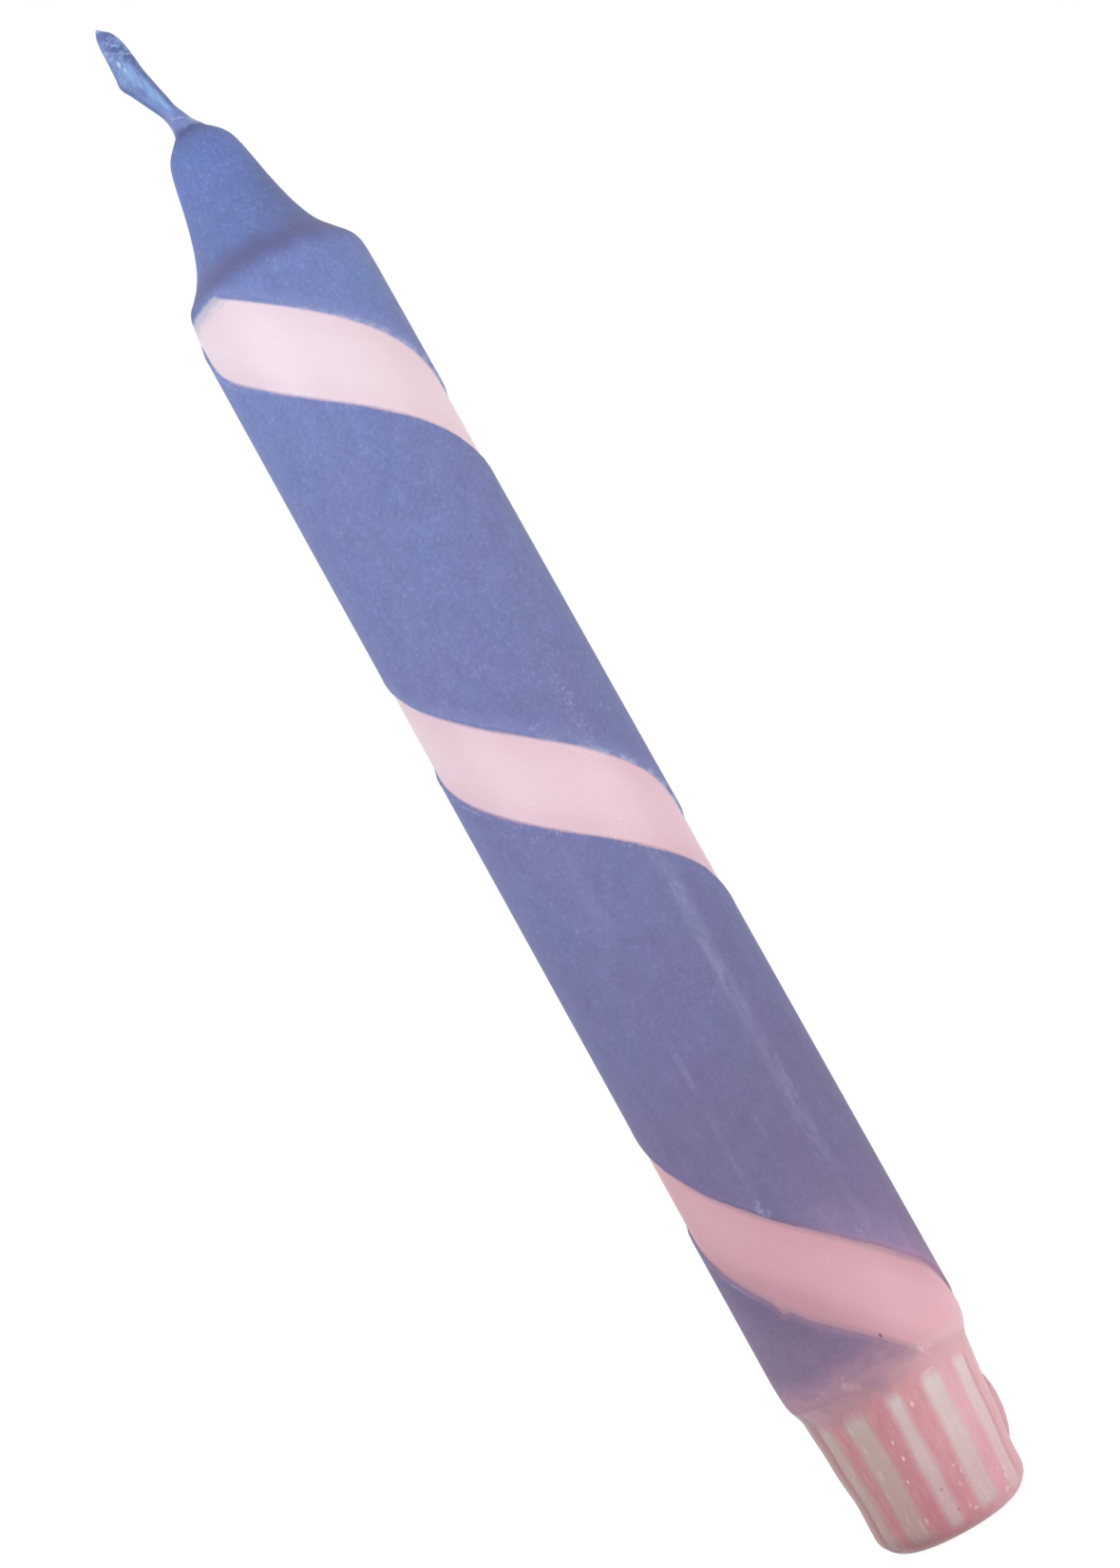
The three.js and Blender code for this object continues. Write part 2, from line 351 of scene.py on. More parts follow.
def turns_of(point):
    """Turns round the candle, from the front towards the right, between -0.5 and 0.5."""
    return math.atan2(point.x, -point.y) / (2 * math.pi)


def on_candle(turns, radius, height):
    angle = 2 * math.pi * turns
    return Vector((radius * math.sin(angle), -radius * math.cos(angle), height))


def blue_depth(height):
    """How deep the blue coat reaches: it thins out to a film at its lower rim."""
    full = smooth(height, rim_height, body_bottom + blue_fade)
    return blue_rim_thickness + (blue_thickness - blue_rim_thickness) * full


print(f"blue coat: {blue_depth(rim_height)} deep at its rim, {blue_depth(body_top)} on the body")

# %% [markdown]
# Twelve ribs stand round the foot, so that a holder grips it. The pink wax was rubbed
# off them and stays in the valleys between. Each rib is a long rounded bar whose ends
# fade out. How far a point lies outside the bar is worked out once, because it shapes
# the white ribs, sinks the pink coat under them, and later colours both. The mould is
# old: the ribs aren't quite evenly spaced, and no two are equally wide.

# %% The ribs of the foot
# Degrees from the front towards the right, and width
RIBS = [
    (-58.4, 2.6), (-30.1, 3.1), (-1.4, 1.9), (26.3, 2.7), (53.2, 2.5), (86, 2.1),
    (116, 2.5), (147, 2.2), (178, 2.6), (-151, 2.3), (-121, 2.5), (-90, 2.2),
]
rib_bottom = 1.1
rib_top = 18.2
rib_end_round = 0.6
rib_unevenness = 0.16
rib_wander_wave = 0.16
rib_width_wave = 0.11
far_from_ribs = 3.0
foot_lean = 0.4


def foot_shift(height):
    """The foot is a little off the body's axis, towards the left, most at the base."""
    return -foot_lean * smooth(height, body_bottom, 0)


def rib_distance(point):
    """Millimetres outside the nearest rib, and negative inside it."""
    turns = turns_of(point)
    radius = math.hypot(point.x, point.y)
    nearest = far_from_ribs
    for number, (degrees, width) in enumerate(RIBS):
        gap = turns - degrees / 360
        across = (gap - round(gap)) * 2 * math.pi * radius
        if abs(across) > far_from_ribs:
            continue
        seed = Vector((number * 7.3, 0, 0))
        wander = noise.noise(seed + Vector((0, 0, point.z * rib_wander_wave)))
        fuller = noise.noise(seed + Vector((3.1, 0, point.z * rib_width_wave)))
        half = width / 2 + rib_unevenness * fuller
        low = rib_bottom + 3 * rib_unevenness * noise.noise(seed + Vector((0, 5.7, 0.3)))
        high = rib_top + 4 * rib_unevenness * noise.noise(seed + Vector((0, 9.2, 0.6)))
        beside = abs(across - rib_unevenness * wander) - half + rib_end_round
        past_end = max(low - point.z, point.z - high) + rib_end_round
        away = math.hypot(max(beside, 0), max(past_end, 0)) - rib_end_round
        away += min(max(beside, past_end), 0)
        nearest = min(nearest, away)
    return nearest


def keep_rib_distance(bm):
    """Stores how far each point of the foot is from a rib, for the shaders."""
    rib = bm.verts.layers.float.new("rib")
    for vert in bm.verts:
        near_foot = vert.co.z < body_bottom and vert.co.xy.length > 1
        vert[rib] = rib_distance(vert.co) if near_foot else far_from_ribs


widths = [width for _, width in RIBS]
print(f"{len(RIBS)} ribs, from {min(widths)} to {max(widths)} mm wide")

# %% [markdown]
# No cast and dipped candle is as true as its outline. The shoulder is rubbed round, more
# on the right, the hollow above it is filled with wax on the left, and the crown's top
# is slim. The foot is a little narrow where it was gripped, and stands off the body's
# axis. All layers of wax are moved by the same function, so they stay one in the other.

# %% How the candle strays from its outline
# Height, and how far inside the outline the candle's left and right side lie there
CROWN_WORN = [
    (162.0, 0.00, 0.00), (164.0, 0.05, 0.05), (165.0, 0.12, 0.10), (166.0, 0.14, 0.22),
    (167.0, 0.10, 0.38), (167.6, -0.06, 0.12), (168.2, -0.20, -0.03), (169.0, -0.21, -0.03),
    (170.0, -0.19, 0.02), (171.5, -0.12, 0.04), (174.0, -0.05, 0.08), (178.0, 0.01, 0.10),
    (183.0, 0.00, 0.08), (185.0, 0.17, 0.27), (186.5, 0.35, 0.50), (187.8, 0.20, 0.65),
]
# Height, half the length, and how far the left, the right and all round lie inside there
FOOT_WORN = [
    (7.2, 3.2, 0.32, 0, 0), (5.5, 2.0, 0, 0.16, 0), (13.6, 2.6, 0, 0, 0.12),
    (21.6, 1.4, 0, 0, 0.09),
]


def swell(value, middle, width):
    """A soft hump of height 1."""
    return math.exp(-((value - middle) / width) ** 2)


def worn(height, side):
    """How much narrower the candle is at a height, on its left (-1) or right (1) side."""
    left, right = through(CROWN_WORN, height) if height > CROWN_WORN[0][0] else (0, 0)
    inside = (left + right) / 2 + (right - left) / 2 * side
    for middle, length, on_left, on_right, all_round in FOOT_WORN:
        here = on_left * max(-side, 0) ** 2 + on_right * max(side, 0) ** 2 + all_round
        inside += here * swell(height, middle, length)
    return inside


def strayed(place):
    """Where a point of the outline's candle really lies."""
    radius = place.xy.length
    inwards = worn(place.z, math.sin(2 * math.pi * turns_of(place)))
    inwards *= smooth(radius, wick_bore, 3)
    narrower = 1 - inwards / max(radius, wick_bore)
    return Vector((place.x * narrower + foot_shift(place.z), place.y * narrower, place.z))


def stray(bm):
    for vert in bm.verts:
        vert.co = strayed(vert.co)


moved = body_high.x - strayed(Vector((body_high.x, 0, body_high.y + 1.7))).x
print(f"the right of the shoulder lies {moved:.2f} mm inside its outline")

# %% [markdown]
# A shader is a network of small nodes, and sums in it are hard to read when each node
# is placed by hand. This class wraps the output of a node, so that ordinary Python
# expressions add the Math nodes, and one method makes every other kind of node.

# %% Shader expressions
def operator(operation, swapped=False):
    """A method of Wire that adds one kind of Math node."""
    def act(self, other=0.0):
        values = (other, self) if swapped else (self, other)
        return self.node("Math", {"operation": operation}, {0: values[0], 1: values[1]})
    return act


class Wire:
    """The output of a shader node. Arithmetic on it adds Math nodes."""

    def __init__(self, tree, socket=None):
        self.tree = tree
        self.socket = socket

    def node(self, kind, settings=None, inputs=None, output=0):
        """Adds a node: its settings first, then the values or links of its sockets."""
        made = self.tree.nodes.new("ShaderNode" + kind)
        for name, value in (settings or {}).items():
            if name == "stops":
                self.fill_ramp(made.color_ramp, value)
            elif name == "interpolation":
                made.color_ramp.interpolation = value
            else:
                setattr(made, name, value)
        for name, value in (inputs or {}).items():
            if isinstance(value, Wire):
                self.tree.links.new(value.socket, made.inputs[name])
            else:
                made.inputs[name].default_value = value
        return Wire(self.tree, made.outputs[output] if len(made.outputs) else None)

    @staticmethod
    def fill_ramp(ramp, stops):
        """Sets a colour ramp, which comes with two elements, to the stops."""
        ends = (ramp.elements[0], ramp.elements[1])
        for element, (position, shade) in zip(ends, (stops[0], stops[-1])):
            element.position = position
            element.color = shade
        for position, shade in stops[1:-1]:
            ramp.elements.new(position).color = shade

    __add__ = operator("ADD")
    __radd__ = operator("ADD", swapped=True)
    __sub__ = operator("SUBTRACT")
    __rsub__ = operator("SUBTRACT", swapped=True)
    __mul__ = operator("MULTIPLY")
    __rmul__ = operator("MULTIPLY", swapped=True)
    __truediv__ = operator("DIVIDE")
    size = operator("ABSOLUTE")
    root = operator("SQRT")
    rounded = operator("ROUND")
    most = operator("MAXIMUM")
    least = operator("MINIMUM")
    arcsine = operator("ARCSINE")
    arctan2 = operator("ARCTAN2")

    def ramp(self, low, high):
        """0 at low, 1 at high and an S-curve between; low may be the larger one."""
        share = (self - low) / (high - low)
        return self.node("MapRange", {"interpolation_type": "SMOOTHSTEP"}, {"Value": share})

    def scaled(self, factor):
        """This colour, made lighter or darker by a factor."""
        return self.node("VectorMath", {"operation": "SCALE"}, {0: self, "Scale": factor})

    def tinted(self, amount, factors):
        """This colour times the three factors, by an amount from 0 to 1."""
        dyed = self.node("VectorMath", {"operation": "MULTIPLY"}, {0: self, 1: factors})
        return amount.blend(self, dyed)

    def blend(self, first, second):
        """The first colour where this is 0, the second where it is 1."""
        settings = {"data_type": "RGBA", "clamp_factor": True}
        return self.node("Mix", settings, {0: self, 6: first, 7: second}, output=2)


print("a wire knows", ", ".join(name for name in vars(Wire) if not name.startswith("_")))


# %% Colours and masks
def colour(red, green, blue):
    """A colour given as the eye sees it, 0 to 255, as the linear light that shaders use."""
    seen = [value / 255 for value in (red, green, blue)]
    linear = [(v + 0.055) ** 2.4 / 1.055 ** 2.4 if v > 0.04045 else v / 12.92 for v in seen]
    return (*linear, 1.0)


def layered(body, layers):
    """The colour with others laid over it in turn, each by its own amount."""
    for amount, shade in layers:
        body = amount.blend(body, shade if isinstance(shade, Wire) else colour(*shade))
    return body


def strongest(masks):
    """The strongest of several masks, from place to place."""
    total = masks[0]
    for mask in masks[1:]:
        total = total.most(mask)
    return total


print(f"a grey of 128 to the eye is {colour(128, 128, 128)[0]:.2f} of white's light")

# %% [markdown]
# Every wax here needs the same few things: the place on the candle in millimetres, its
# turns and height, grain at a given size, and a Principled shader with a Bump node. They
# are read from Object coordinates, so a pattern stays on its piece whatever the camera
# does. Long marks that run down the candle come from noise that is stretched in height.
# Turns jump from 0.5 to -0.5 behind the candle, which a small mark never meets. A broad
# tint would end there in a seam, so it follows the side, which folds back from the limbs.

# %% What the waxes share
spot_reach = 1.6


class Finish:
    """A new material with the candle's coordinates ready for use.

    turns runs round the candle from the front to the right, and side does so too from
    -0.25 at the left limb to 0.25 at the right one, but folds back behind the candle.
    """

    def __init__(self, name):
        self.material = bpy.data.materials.new(name)
        self.material.use_nodes = True
        self.tree = self.material.node_tree
        self.tree.nodes.clear()
        self.start = Wire(self.tree)
        place = self.start.node("TexCoord", output="Object")
        self.place = self.start.node(
            "VectorMath", {"operation": "SCALE"}, {0: place, "Scale": 1 / MM})
        self.x, self.y, self.height = (
            self.start.node("SeparateXYZ", None, {0: self.place}, output=axis) for axis in "XYZ")
        self.turns = self.x.arctan2(0 - self.y) / (2 * math.pi)
        sideways = self.x / (self.x * self.x + self.y * self.y).root()
        self.side = sideways.arcsine() / (2 * math.pi)

    def attribute(self, name):
        return self.start.node("Attribute", {"attribute_name": name}, output="Fac")

    def grain(self, size, detail=3.0, stretch=1.0, seed=0.0):
        """Noise from 0 to 1 with features of that size in millimetres, stretched upwards."""
        moved = self.start.node(
            "Mapping", None,
            {"Vector": self.place, "Location": (seed, seed, seed),
             "Scale": (1 / size, 1 / size, 1 / (size * stretch))})
        return self.start.node(
            "TexNoise", None, {"Vector": moved, "Scale": 1.0, "Detail": detail})

    def marks(self, places, across_to, above, ragged, whole):
        """Small ovals with ragged edges: place, height, half width and length, strength."""
        ovals = []
        for place, height, half_width, half_length, strength in places:
            across = across_to(place, half_width)
            along = (above - height) / half_length
            oval = (across * across + along * along + ragged).ramp(spot_reach, whole)
            ovals.append(oval * strength)
        return strongest(ovals)

    def spots(self, places, radius):
        """Marks round the candle, whose places are degrees from the front."""
        def across_to(degrees, half_width):
            return (self.turns - degrees / 360) * (2 * math.pi * radius / half_width)
        ragged = spot_reach * (self.grain(0.3, detail=1, seed=51) - 0.5)
        return self.marks(places, across_to, self.height, ragged, 0.1)

    def painted_light_lower_right(self):
        """Painted light: how much lighter the wax is made at the lower right, as if lit from there.
        """
        return 1 + 0.18 * self.side.ramp(0.0, 0.17) * self.height.ramp(44, 25)

    def gradient(self, low, high, rows, value=None):
        """A colour that changes between two heights, or two limits of another value.

        Each row is a place from 0 to 1 and the colour's red, green and blue there.
        """
        share = ((value or self.height) - low) / (high - low)
        stops = [(place, colour(*seen)) for place, *seen in rows]
        return self.start.node("ValToRGB", {"stops": stops, "interpolation": "EASE"}, {0: share})

    def toned(self, body, rows):
        """The colour times factors: each row fades in over a range of side and height."""
        for side, height, factors in rows:
            masks = [self.side.ramp(*side)] if side else []
            masks += [self.height.ramp(*height)] if height else []
            body = body.tinted(masks[0] * masks[1] if len(masks) > 1 else masks[0], factors)
        return body

    def shade(self, values, bump=None, bump_depth=0.02):
        """The Principled shader with its values, and bumps of a depth in millimetres."""
        if bump is not None:
            inputs = {"Height": bump, "Distance": bump_depth * MM, "Strength": 1.0}
            values = {**values, "Normal": self.start.node("Bump", None, inputs)}
        shader = self.start.node("BsdfPrincipled", None, values)
        self.start.node("OutputMaterial", None, {"Surface": shader})
        return self.material


print(f"a finish measures its patterns in millimetres, {1 / MM:.0f} to the metre")

# %% [markdown]
# The foot's colours are one recipe, which the white and the pink wax both use. So they
# are equal where the two surfaces cross, and a rib fades into the pink as rubbed wax
# does. Fine streaks run down it, from pulling the candle out of its mould. Painted shade
# darkens it towards the base and at both limbs, most on the left, and as two soft darker
# lines near the limbs; painted light brightens its right side. Above, a trace of the blue
# film turns the pink to mauve. A few glints are painted on as highlights where the
# photograph shows them.

# %% Marks on the foot
# Degrees from the front towards the right, height, half the width and length, strength
# Glints and sheens are painted highlights; the pits are dark specks in the wax.
GLINTS = [
    (7.2, 15.6, 0.18, 0.30, 0.8), (-15.2, 12.9, 0.13, 0.28, 0.6), (-14.2, 10.8, 0.15, 0.30, 0.8),
    (-19.4, 8.3, 0.12, 0.24, 0.6), (11.9, 7.5, 0.24, 0.18, 0.4), (9.9, 5.4, 0.16, 0.34, 0.4),
    (15.0, 6.6, 0.18, 0.30, 0.4), (47.4, 4.9, 0.14, 0.35, 0.6), (47.6, 4.1, 0.20, 0.40, 0.6),
    (46.0, 3.2, 0.20, 0.40, 0.7), (42.6, 1.9, 0.45, 0.30, 0.6), (12.5, 2.2, 0.34, 0.26, 0.5),
    (9.0, 2.8, 0.20, 0.20, 0.4), (-22.0, 3.5, 0.16, 0.40, 0.4), (41.0, 4.4, 0.14, 0.30, 0.4),
    (22.0, 2.4, 0.14, 0.20, 0.4), (-58.0, 10.4, 0.20, 0.80, 0.2), (-34.0, 10.2, 0.22, 0.80, 0.2),
    (-36.0, 15.9, 0.22, 0.50, 0.2),
]
PITS = [(-2.7, 5.9, 0.16, 0.2, 0.6), (1.2, 3.1, 0.16, 0.2, 0.6), (79, 3.4, 0.3, 0.2, 0.6)]
# Soft darker lines near the limbs, painted shade: degrees from the front, and strength
PAINTED_SHADE_LINES = [(61.5, 0.4), (-65.0, 0.35)]
shade_line_reach = 0.55
film_from, film_to = 16.9, 19.9
print(f"{len(GLINTS)} glints, {len(PITS)} pits and {len(PAINTED_SHADE_LINES)} mould lines")


def painted_shade_lines(wax):
    """The two darker lines near the limbs, painted shade, one after the other."""
    along = wax.height.ramp(1.6, 4) * wax.height.ramp(18, 16)
    for degrees, strength in PAINTED_SHADE_LINES:
        across = (wax.turns - degrees / 360).size() * (2 * math.pi * foot_bottom_radius)
        yield across.ramp(shade_line_reach, 0.0) * along * strength, (176, 112, 120)


def film_colour(wax):
    """The last trace of the blue film, a brownish mauve that is pinker on the right, and lighter
    there as painted light.
    """
    patchy = wax.grain(2.2, seed=63).ramp(0.35, 0.65)
    left = patchy.blend(colour(172, 133, 156), colour(187, 144, 156))
    return wax.side.ramp(-0.04, 0.1).blend(left, colour(234, 182, 191))


def film_trace(wax):
    """How much of that trace lies on the top of the foot."""
    wandering = wax.grain(2.4, detail=4, seed=61) - 0.5
    lower = wax.side.ramp(0.02, -0.1)
    return (wax.height + 2.4 * wandering + lower).ramp(film_from, film_to) * 0.9


# %% The foot's colours
LIMB_TO_LIMB = (-0.25, 0.25)
# From the left limb to the right one: the place, and red, green and blue there. Both tables are
# darker on the left and lighter on the right, as painted shade and light
FOOT_PINK = [
    (0.00, 196, 134, 138), (0.38, 201, 135, 141), (0.46, 208, 142, 150),
    (0.57, 222, 158, 166), (0.72, 243, 185, 194), (1.00, 242, 190, 196),
]
FOOT_WHITE = [
    (0.00, 193, 160, 154), (0.34, 197, 168, 163), (0.49, 218, 190, 191),
    (0.64, 229, 204, 202), (0.80, 241, 211, 210), (1.00, 246, 216, 212),
]
# Painted shade towards the base, most at the lower left, and at both limbs: ranges of side and
# height over which a tint fades in, and its factors
FOOT_LOW_SHADE = [
    (None, (12, 3), (0.92, 0.84, 0.87)),
    ((-0.04, -0.12), (3.6, 1), (0.72, 0.66, 0.68)),
]
FOOT_LIMB_SHADE = [
    ((-0.163, -0.195), None, (0.64, 0.52, 0.52)),
    ((0.16, 0.19), None, (0.94, 0.86, 0.87)),
]
print(f"foot: {len(FOOT_PINK)} pinks and {len(FOOT_WHITE)} whites from limb to limb")


def foot_colour(wax):
    streaks = wax.grain(0.5, detail=4, stretch=6, seed=3)
    clouds = wax.grain(2.6, stretch=2, seed=11)
    pink = layered(wax.gradient(*LIMB_TO_LIMB, FOOT_PINK, wax.side), [
        (streaks.ramp(0.46, 0.7) * 0.22, (234, 186, 190)),
        (streaks.ramp(0.5, 0.3) * 0.14, (188, 112, 124)),
        (clouds.ramp(0.5, 0.8) * 0.2, (226, 144, 162)),
    ])
    white = layered(wax.gradient(*LIMB_TO_LIMB, FOOT_WHITE, wax.side), [
        (streaks.ramp(0.55, 0.72) * 0.3, (236, 216, 212)),
        (streaks.ramp(0.44, 0.28) * 0.25, (196, 162, 160)),
    ])
    white = white.tinted(wax.height.ramp(13, 17), (1.03, 1.11, 1.12))
    wavy = wax.attribute("rib") + 0.5 * (streaks - 0.5) + 0.6 * (clouds - 0.5)
    ends = wax.height + 1.6 * (clouds - 0.5)
    showing = wavy.ramp(0.45, -0.55) * ends.ramp(18.3, 16.4) * ends.ramp(0.3, 2.2)
    speckle = 0.22 * (wax.grain(0.24, stretch=1.6, seed=7) - 0.5)
    # Painted light: the foot is made lighter towards its right side.
    body = showing.blend(pink, white).scaled(0.95 + 0.09 * wax.side.ramp(-0.22, 0.12) + speckle)
    body = layered(wax.toned(body, FOOT_LOW_SHADE), painted_shade_lines(wax))
    body = wax.toned(film_trace(wax).blend(body, film_colour(wax)), FOOT_LIMB_SHADE)
    return layered(body, [
        (wax.spots(PITS, foot_bottom_radius), (150, 110, 120)),
        (wax.spots(GLINTS, foot_bottom_radius), (254, 220, 220)),
    ])


# %% [markdown]
# The white candle in the middle shows only where its ribs come through. Its sheet is
# spun from the outline and sunk by the depth of both coats, and the ribs push it out
# again, a little past the finished surface. The wick's bore is one more wall, so the
# sheet closes on itself and no second sheet is needed.

# %% The white core
core_sides = 300
ribs_from = 0.2 * base_edge
rib_rise = 0.06
valley_depth = 0.34
print(f"ribs stand {valley_depth + rib_rise:.2f} mm over the valleys between them")


def rib_height_share(distance):
    """1 on a rib's back and 0 in the valley, over a soft flank."""
    return smooth(distance, 0.7, -0.55)


def core_depth(point):
    if point.z > rim_height:
        return blue_depth(point.z) + pink_thickness + 2 * skin_gap
    return pink_thickness + skin_gap


def build_core():
    bm = bmesh.new()
    steps = {
        "base": 5, "base edge": 16, "foot": 40, "low flare": 8, "high flare": 6,
        "low body": 2, "body": 4, "shoulder": 3, "bell": 8, "dome": 4, "land": 2,
    }
    outline = [point for point in walk(steps) if point.x > wick_bore or point.y > 1]
    spin_sheet(bm, [Vector((wick_bore, 0))] + outline, core_sides)
    face_outwards(bm)
    for vert in bm.verts:
        place = vert.co.copy()
        depth = core_depth(place)
        if ribs_from < place.z < rim_height:
            share = rib_height_share(rib_distance(place))
            depth = valley_depth + (-rib_rise - valley_depth) * share
        on_bore = place.xy.length < wick_bore + WELD
        outward = Vector((0, 0, vert.normal.z)).normalized() if on_bore else vert.normal
        vert.co = place - outward * depth
    join_rims(bm)
    bmesh.ops.recalc_face_normals(bm, faces=bm.faces)
    keep_rib_distance(bm)
    stray(bm)
    return bm


# %% White wax
def white_wax():
    wax = Finish("white paraffin wax")
    scratches = wax.grain(0.35, detail=4, stretch=14, seed=3)
    bumps = scratches + 0.6 * wax.grain(0.9, detail=2, seed=5)
    return wax.shade(
        {"Base Color": foot_colour(wax), "Roughness": 0.42,
         "Coat Weight": 0.15, "Coat Roughness": 0.25},
        bumps, bump_depth=0.03)


finish_piece("core_of_white_wax", build_core(), white_wax(), "core_candle")

# %% [markdown]
# The window in the blue coat is the tape's track. Its middle falls as the tape goes
# round, by a pitch that grows a little from turn to turn, because it was wound by hand.
# It is cut off level just under the shoulder, where the tape began. Pulling a tape out
# of set wax tears the edge slightly, so each edge wanders, and has one deeper nick.

# %% How the tape's edges stray
# Turns along the tape, and how far its top and its bottom edge stray upwards there
TAPE_WANDER = [
    (-0.28, 0.45, 3.80), (-0.24, 0.45, 2.20), (-0.20, 0.45, 0.90), (-0.12, 0.45, 0.50),
    (-0.05, 0.50, 0.00), (0.00, 0.24, -0.20),
    (0.08, 0.12, -0.08), (0.16, 0.16, 0.28), (0.30, 0.00, 0.40), (0.75, 0.00, 0.00),
    (0.88, -0.18, -0.24), (0.95, -0.45, -0.42), (1.00, -0.26, -0.38), (1.06, -0.04, 0.00),
    (1.12, 0.30, 0.46), (1.18, 0.75, 1.20), (1.40, 0.00, 0.00), (1.81, 0.54, 0.15),
    (1.88, 0.04, -0.12), (1.94, -0.20, -0.90), (2.02, -0.36, -0.88), (2.08, -0.28, -1.38),
    (2.13, 0.00, -1.20), (2.19, 0.95, -1.00),
]
torn_by = 0.16
long_wave, short_wave, rough_wave = 0.23, 0.9, 3.3
nick_turns = 1.906
nick_depth = 0.9
nick_length = 0.55


def stripe_middle(turns):
    return first_middle - stripe_pitch * turns - stripe_pitch_growth * turns * turns


def torn(turns, height, seed):
    """How far a torn edge strays: long waves, short ones and a fine roughness."""
    point = on_candle(turns, body_radius, height) + Vector((0, 0, seed))
    waves = noise.noise(point * long_wave)
    short = noise.noise(point * short_wave)
    rough = noise.noise(point * rough_wave)
    return torn_by * (waves + 0.55 * short + 0.35 * rough)


def wander(turns):
    """How far the tape's top and bottom edge stray, between the places of the list."""
    turns = min(max(turns, TAPE_WANDER[0][0]), TAPE_WANDER[-1][0])
    for (before, *low), (after, *high) in zip(TAPE_WANDER, TAPE_WANDER[1:]):
        if turns <= after:
            share = (turns - before) / (after - before)
            return [start + (end - start) * share for start, end in zip(low, high)]


print(f"a torn edge at the front strays by {torn(0, body_top, 40):.2f} mm")


# %% The window's edges
tape_start_turns = 0.28
tape_start_rise = 0.4
level_tear = 0.6


def window_top(turns):
    height = stripe_middle(turns) + stripe_width / 2
    return height + torn(turns, height, 40) + wander(turns)[0]


def window_bottom(turns):
    height = stripe_middle(turns) - stripe_width / 2
    along = (turns - nick_turns) * 2 * math.pi * body_radius
    nick = nick_depth * swell(along, 0, nick_length)
    return height + torn(turns, height, 80) - nick + wander(turns)[1]


def window_ceiling(turns):
    from_start = abs(turns - round(turns) + tape_start_turns)
    rise = tape_start_rise * smooth(from_start, 0.12, 0.03)
    return window_level_top + rise + level_tear * torn(turns, window_level_top, 120)


def window_distance(turns, height):
    """Millimetres from the window, measured on the unrolled coat: positive on the blue."""
    nearest = body_length
    over = height - window_ceiling(turns)
    for winding in range(-1, 4):
        total = turns + winding
        if abs(height - stripe_middle(total)) > stripe_width:
            continue
        beside = max(height - window_top(total), window_bottom(total) - height)
        beside *= track_squareness
        outside_both = min(over, beside) > 0
        away = math.hypot(over, beside) if outside_both else max(over, beside)
        nearest = min(nearest, away)
    return nearest


crossings = [stripe_middle(turns) for turns in range(3)]
print("the window crosses the front at", [round(height, 1) for height in crossings])

# %% [markdown]
# The waxes change colour beside the window, so their shaders have to know where it is. A
# distance stored on the points would be as coarse as the mesh. The tape's track is a
# short sum, so it is worked out again in the shader: a square root says how far along the
# tape a point lies. How its edges stray is looked up in a colour ramp, whose red and
# green hold the top and the bottom edge, shrunk to between 0 and 1.

# %% The tape's track in a shader
stray_lowest = -2
stray_span = 6
level_slack = 0.15


def tape_track(wax):
    """Millimetres below the middle of the tape's track, and inside its window."""
    fall = (stripe_pitch ** 2 + 4 * stripe_pitch_growth * (first_middle - wax.height)).root()
    there = (fall - stripe_pitch) / (2 * stripe_pitch_growth)
    ahead = there - wax.turns
    ahead = ahead - ahead.rounded()
    below = ahead * fall
    first, last = TAPE_WANDER[0][0], TAPE_WANDER[-1][0]
    stops = []
    for turns, *strays in TAPE_WANDER:
        shrunk = [(stray - stray_lowest) / stray_span for stray in strays]
        stops.append(((turns - first) / (last - first), (*shrunk, 0, 1)))
    share = (there - ahead - first) / (last - first)
    stray = wax.start.node("ValToRGB", {"stops": stops, "interpolation": "LINEAR"}, {0: share})
    top, bottom = (
        wax.start.node("SeparateColor", None, {0: stray}, output=channel) * stray_span
        + stray_lowest for channel in range(2))
    beside = (below + stripe_width / 2 + top).least(stripe_width / 2 - bottom - below)
    level = window_level_top + level_slack - wax.height
    return below, (beside * track_squareness).least(level)


print(f"the track is looked up from {TAPE_WANDER[0][0]} to {TAPE_WANDER[-1][0]} turns")

# %% [markdown]
# The pink coat covers the whole core, also under the foot. On the foot it lies level
# with the finished outline and dips under each rib, so the white and the pink surfaces
# cross in a soft line, as they do where wax is rubbed away. Under the blue it lies
# deeper. At the window's lower end the pink wax pooled, and swells up to the surface.

# %% The pink coat
pink_sides = 288
rib_dip = 0.24
pool_from = 33.0
pool_to = 23.0
pool_swell = 0.9


def pink_start(height):
    """How deep the pink wax begins, under the blue or in its window."""
    return max(blue_depth(height) - skin_gap, 0) * smooth(height, rim_height, rim_height + 1.4)


def pink_depths(point):
    if point.z < rim_height:
        on_rib = rib_distance(point) if point.z > ribs_from else far_from_ribs
        return rib_dip * smooth(on_rib, -0.1, -0.5), pink_thickness
    starts = pink_start(point.z)
    if point.z < pool_from:
        inside = -window_distance(turns_of(point), point.z)
        pooled = smooth(point.z, pool_from, pool_to) * smooth(inside, 0.1, 1.6)
        starts *= 1 - pool_swell * pooled
    return starts, starts + pink_thickness


print(f"pink lies {pink_start(pool_to):.2f} mm deep under the blue above its pool")


def build_pink_coat():
    bm = bmesh.new()
    steps = {
        "base": 4, "base edge": 12, "foot": 36, "low flare": 8, "high flare": 8,
        "low body": 26, "body": 24, "shoulder": 4, "bell": 8, "dome": 3, "land": 2,
    }
    spin_sheet(bm, walk(steps), pink_sides)
    face_outwards(bm)
    make_layer(bm, pink_depths, closes=False)
    join_rims(bm)
    keep_rib_distance(bm)
    stray(bm)
    return bm


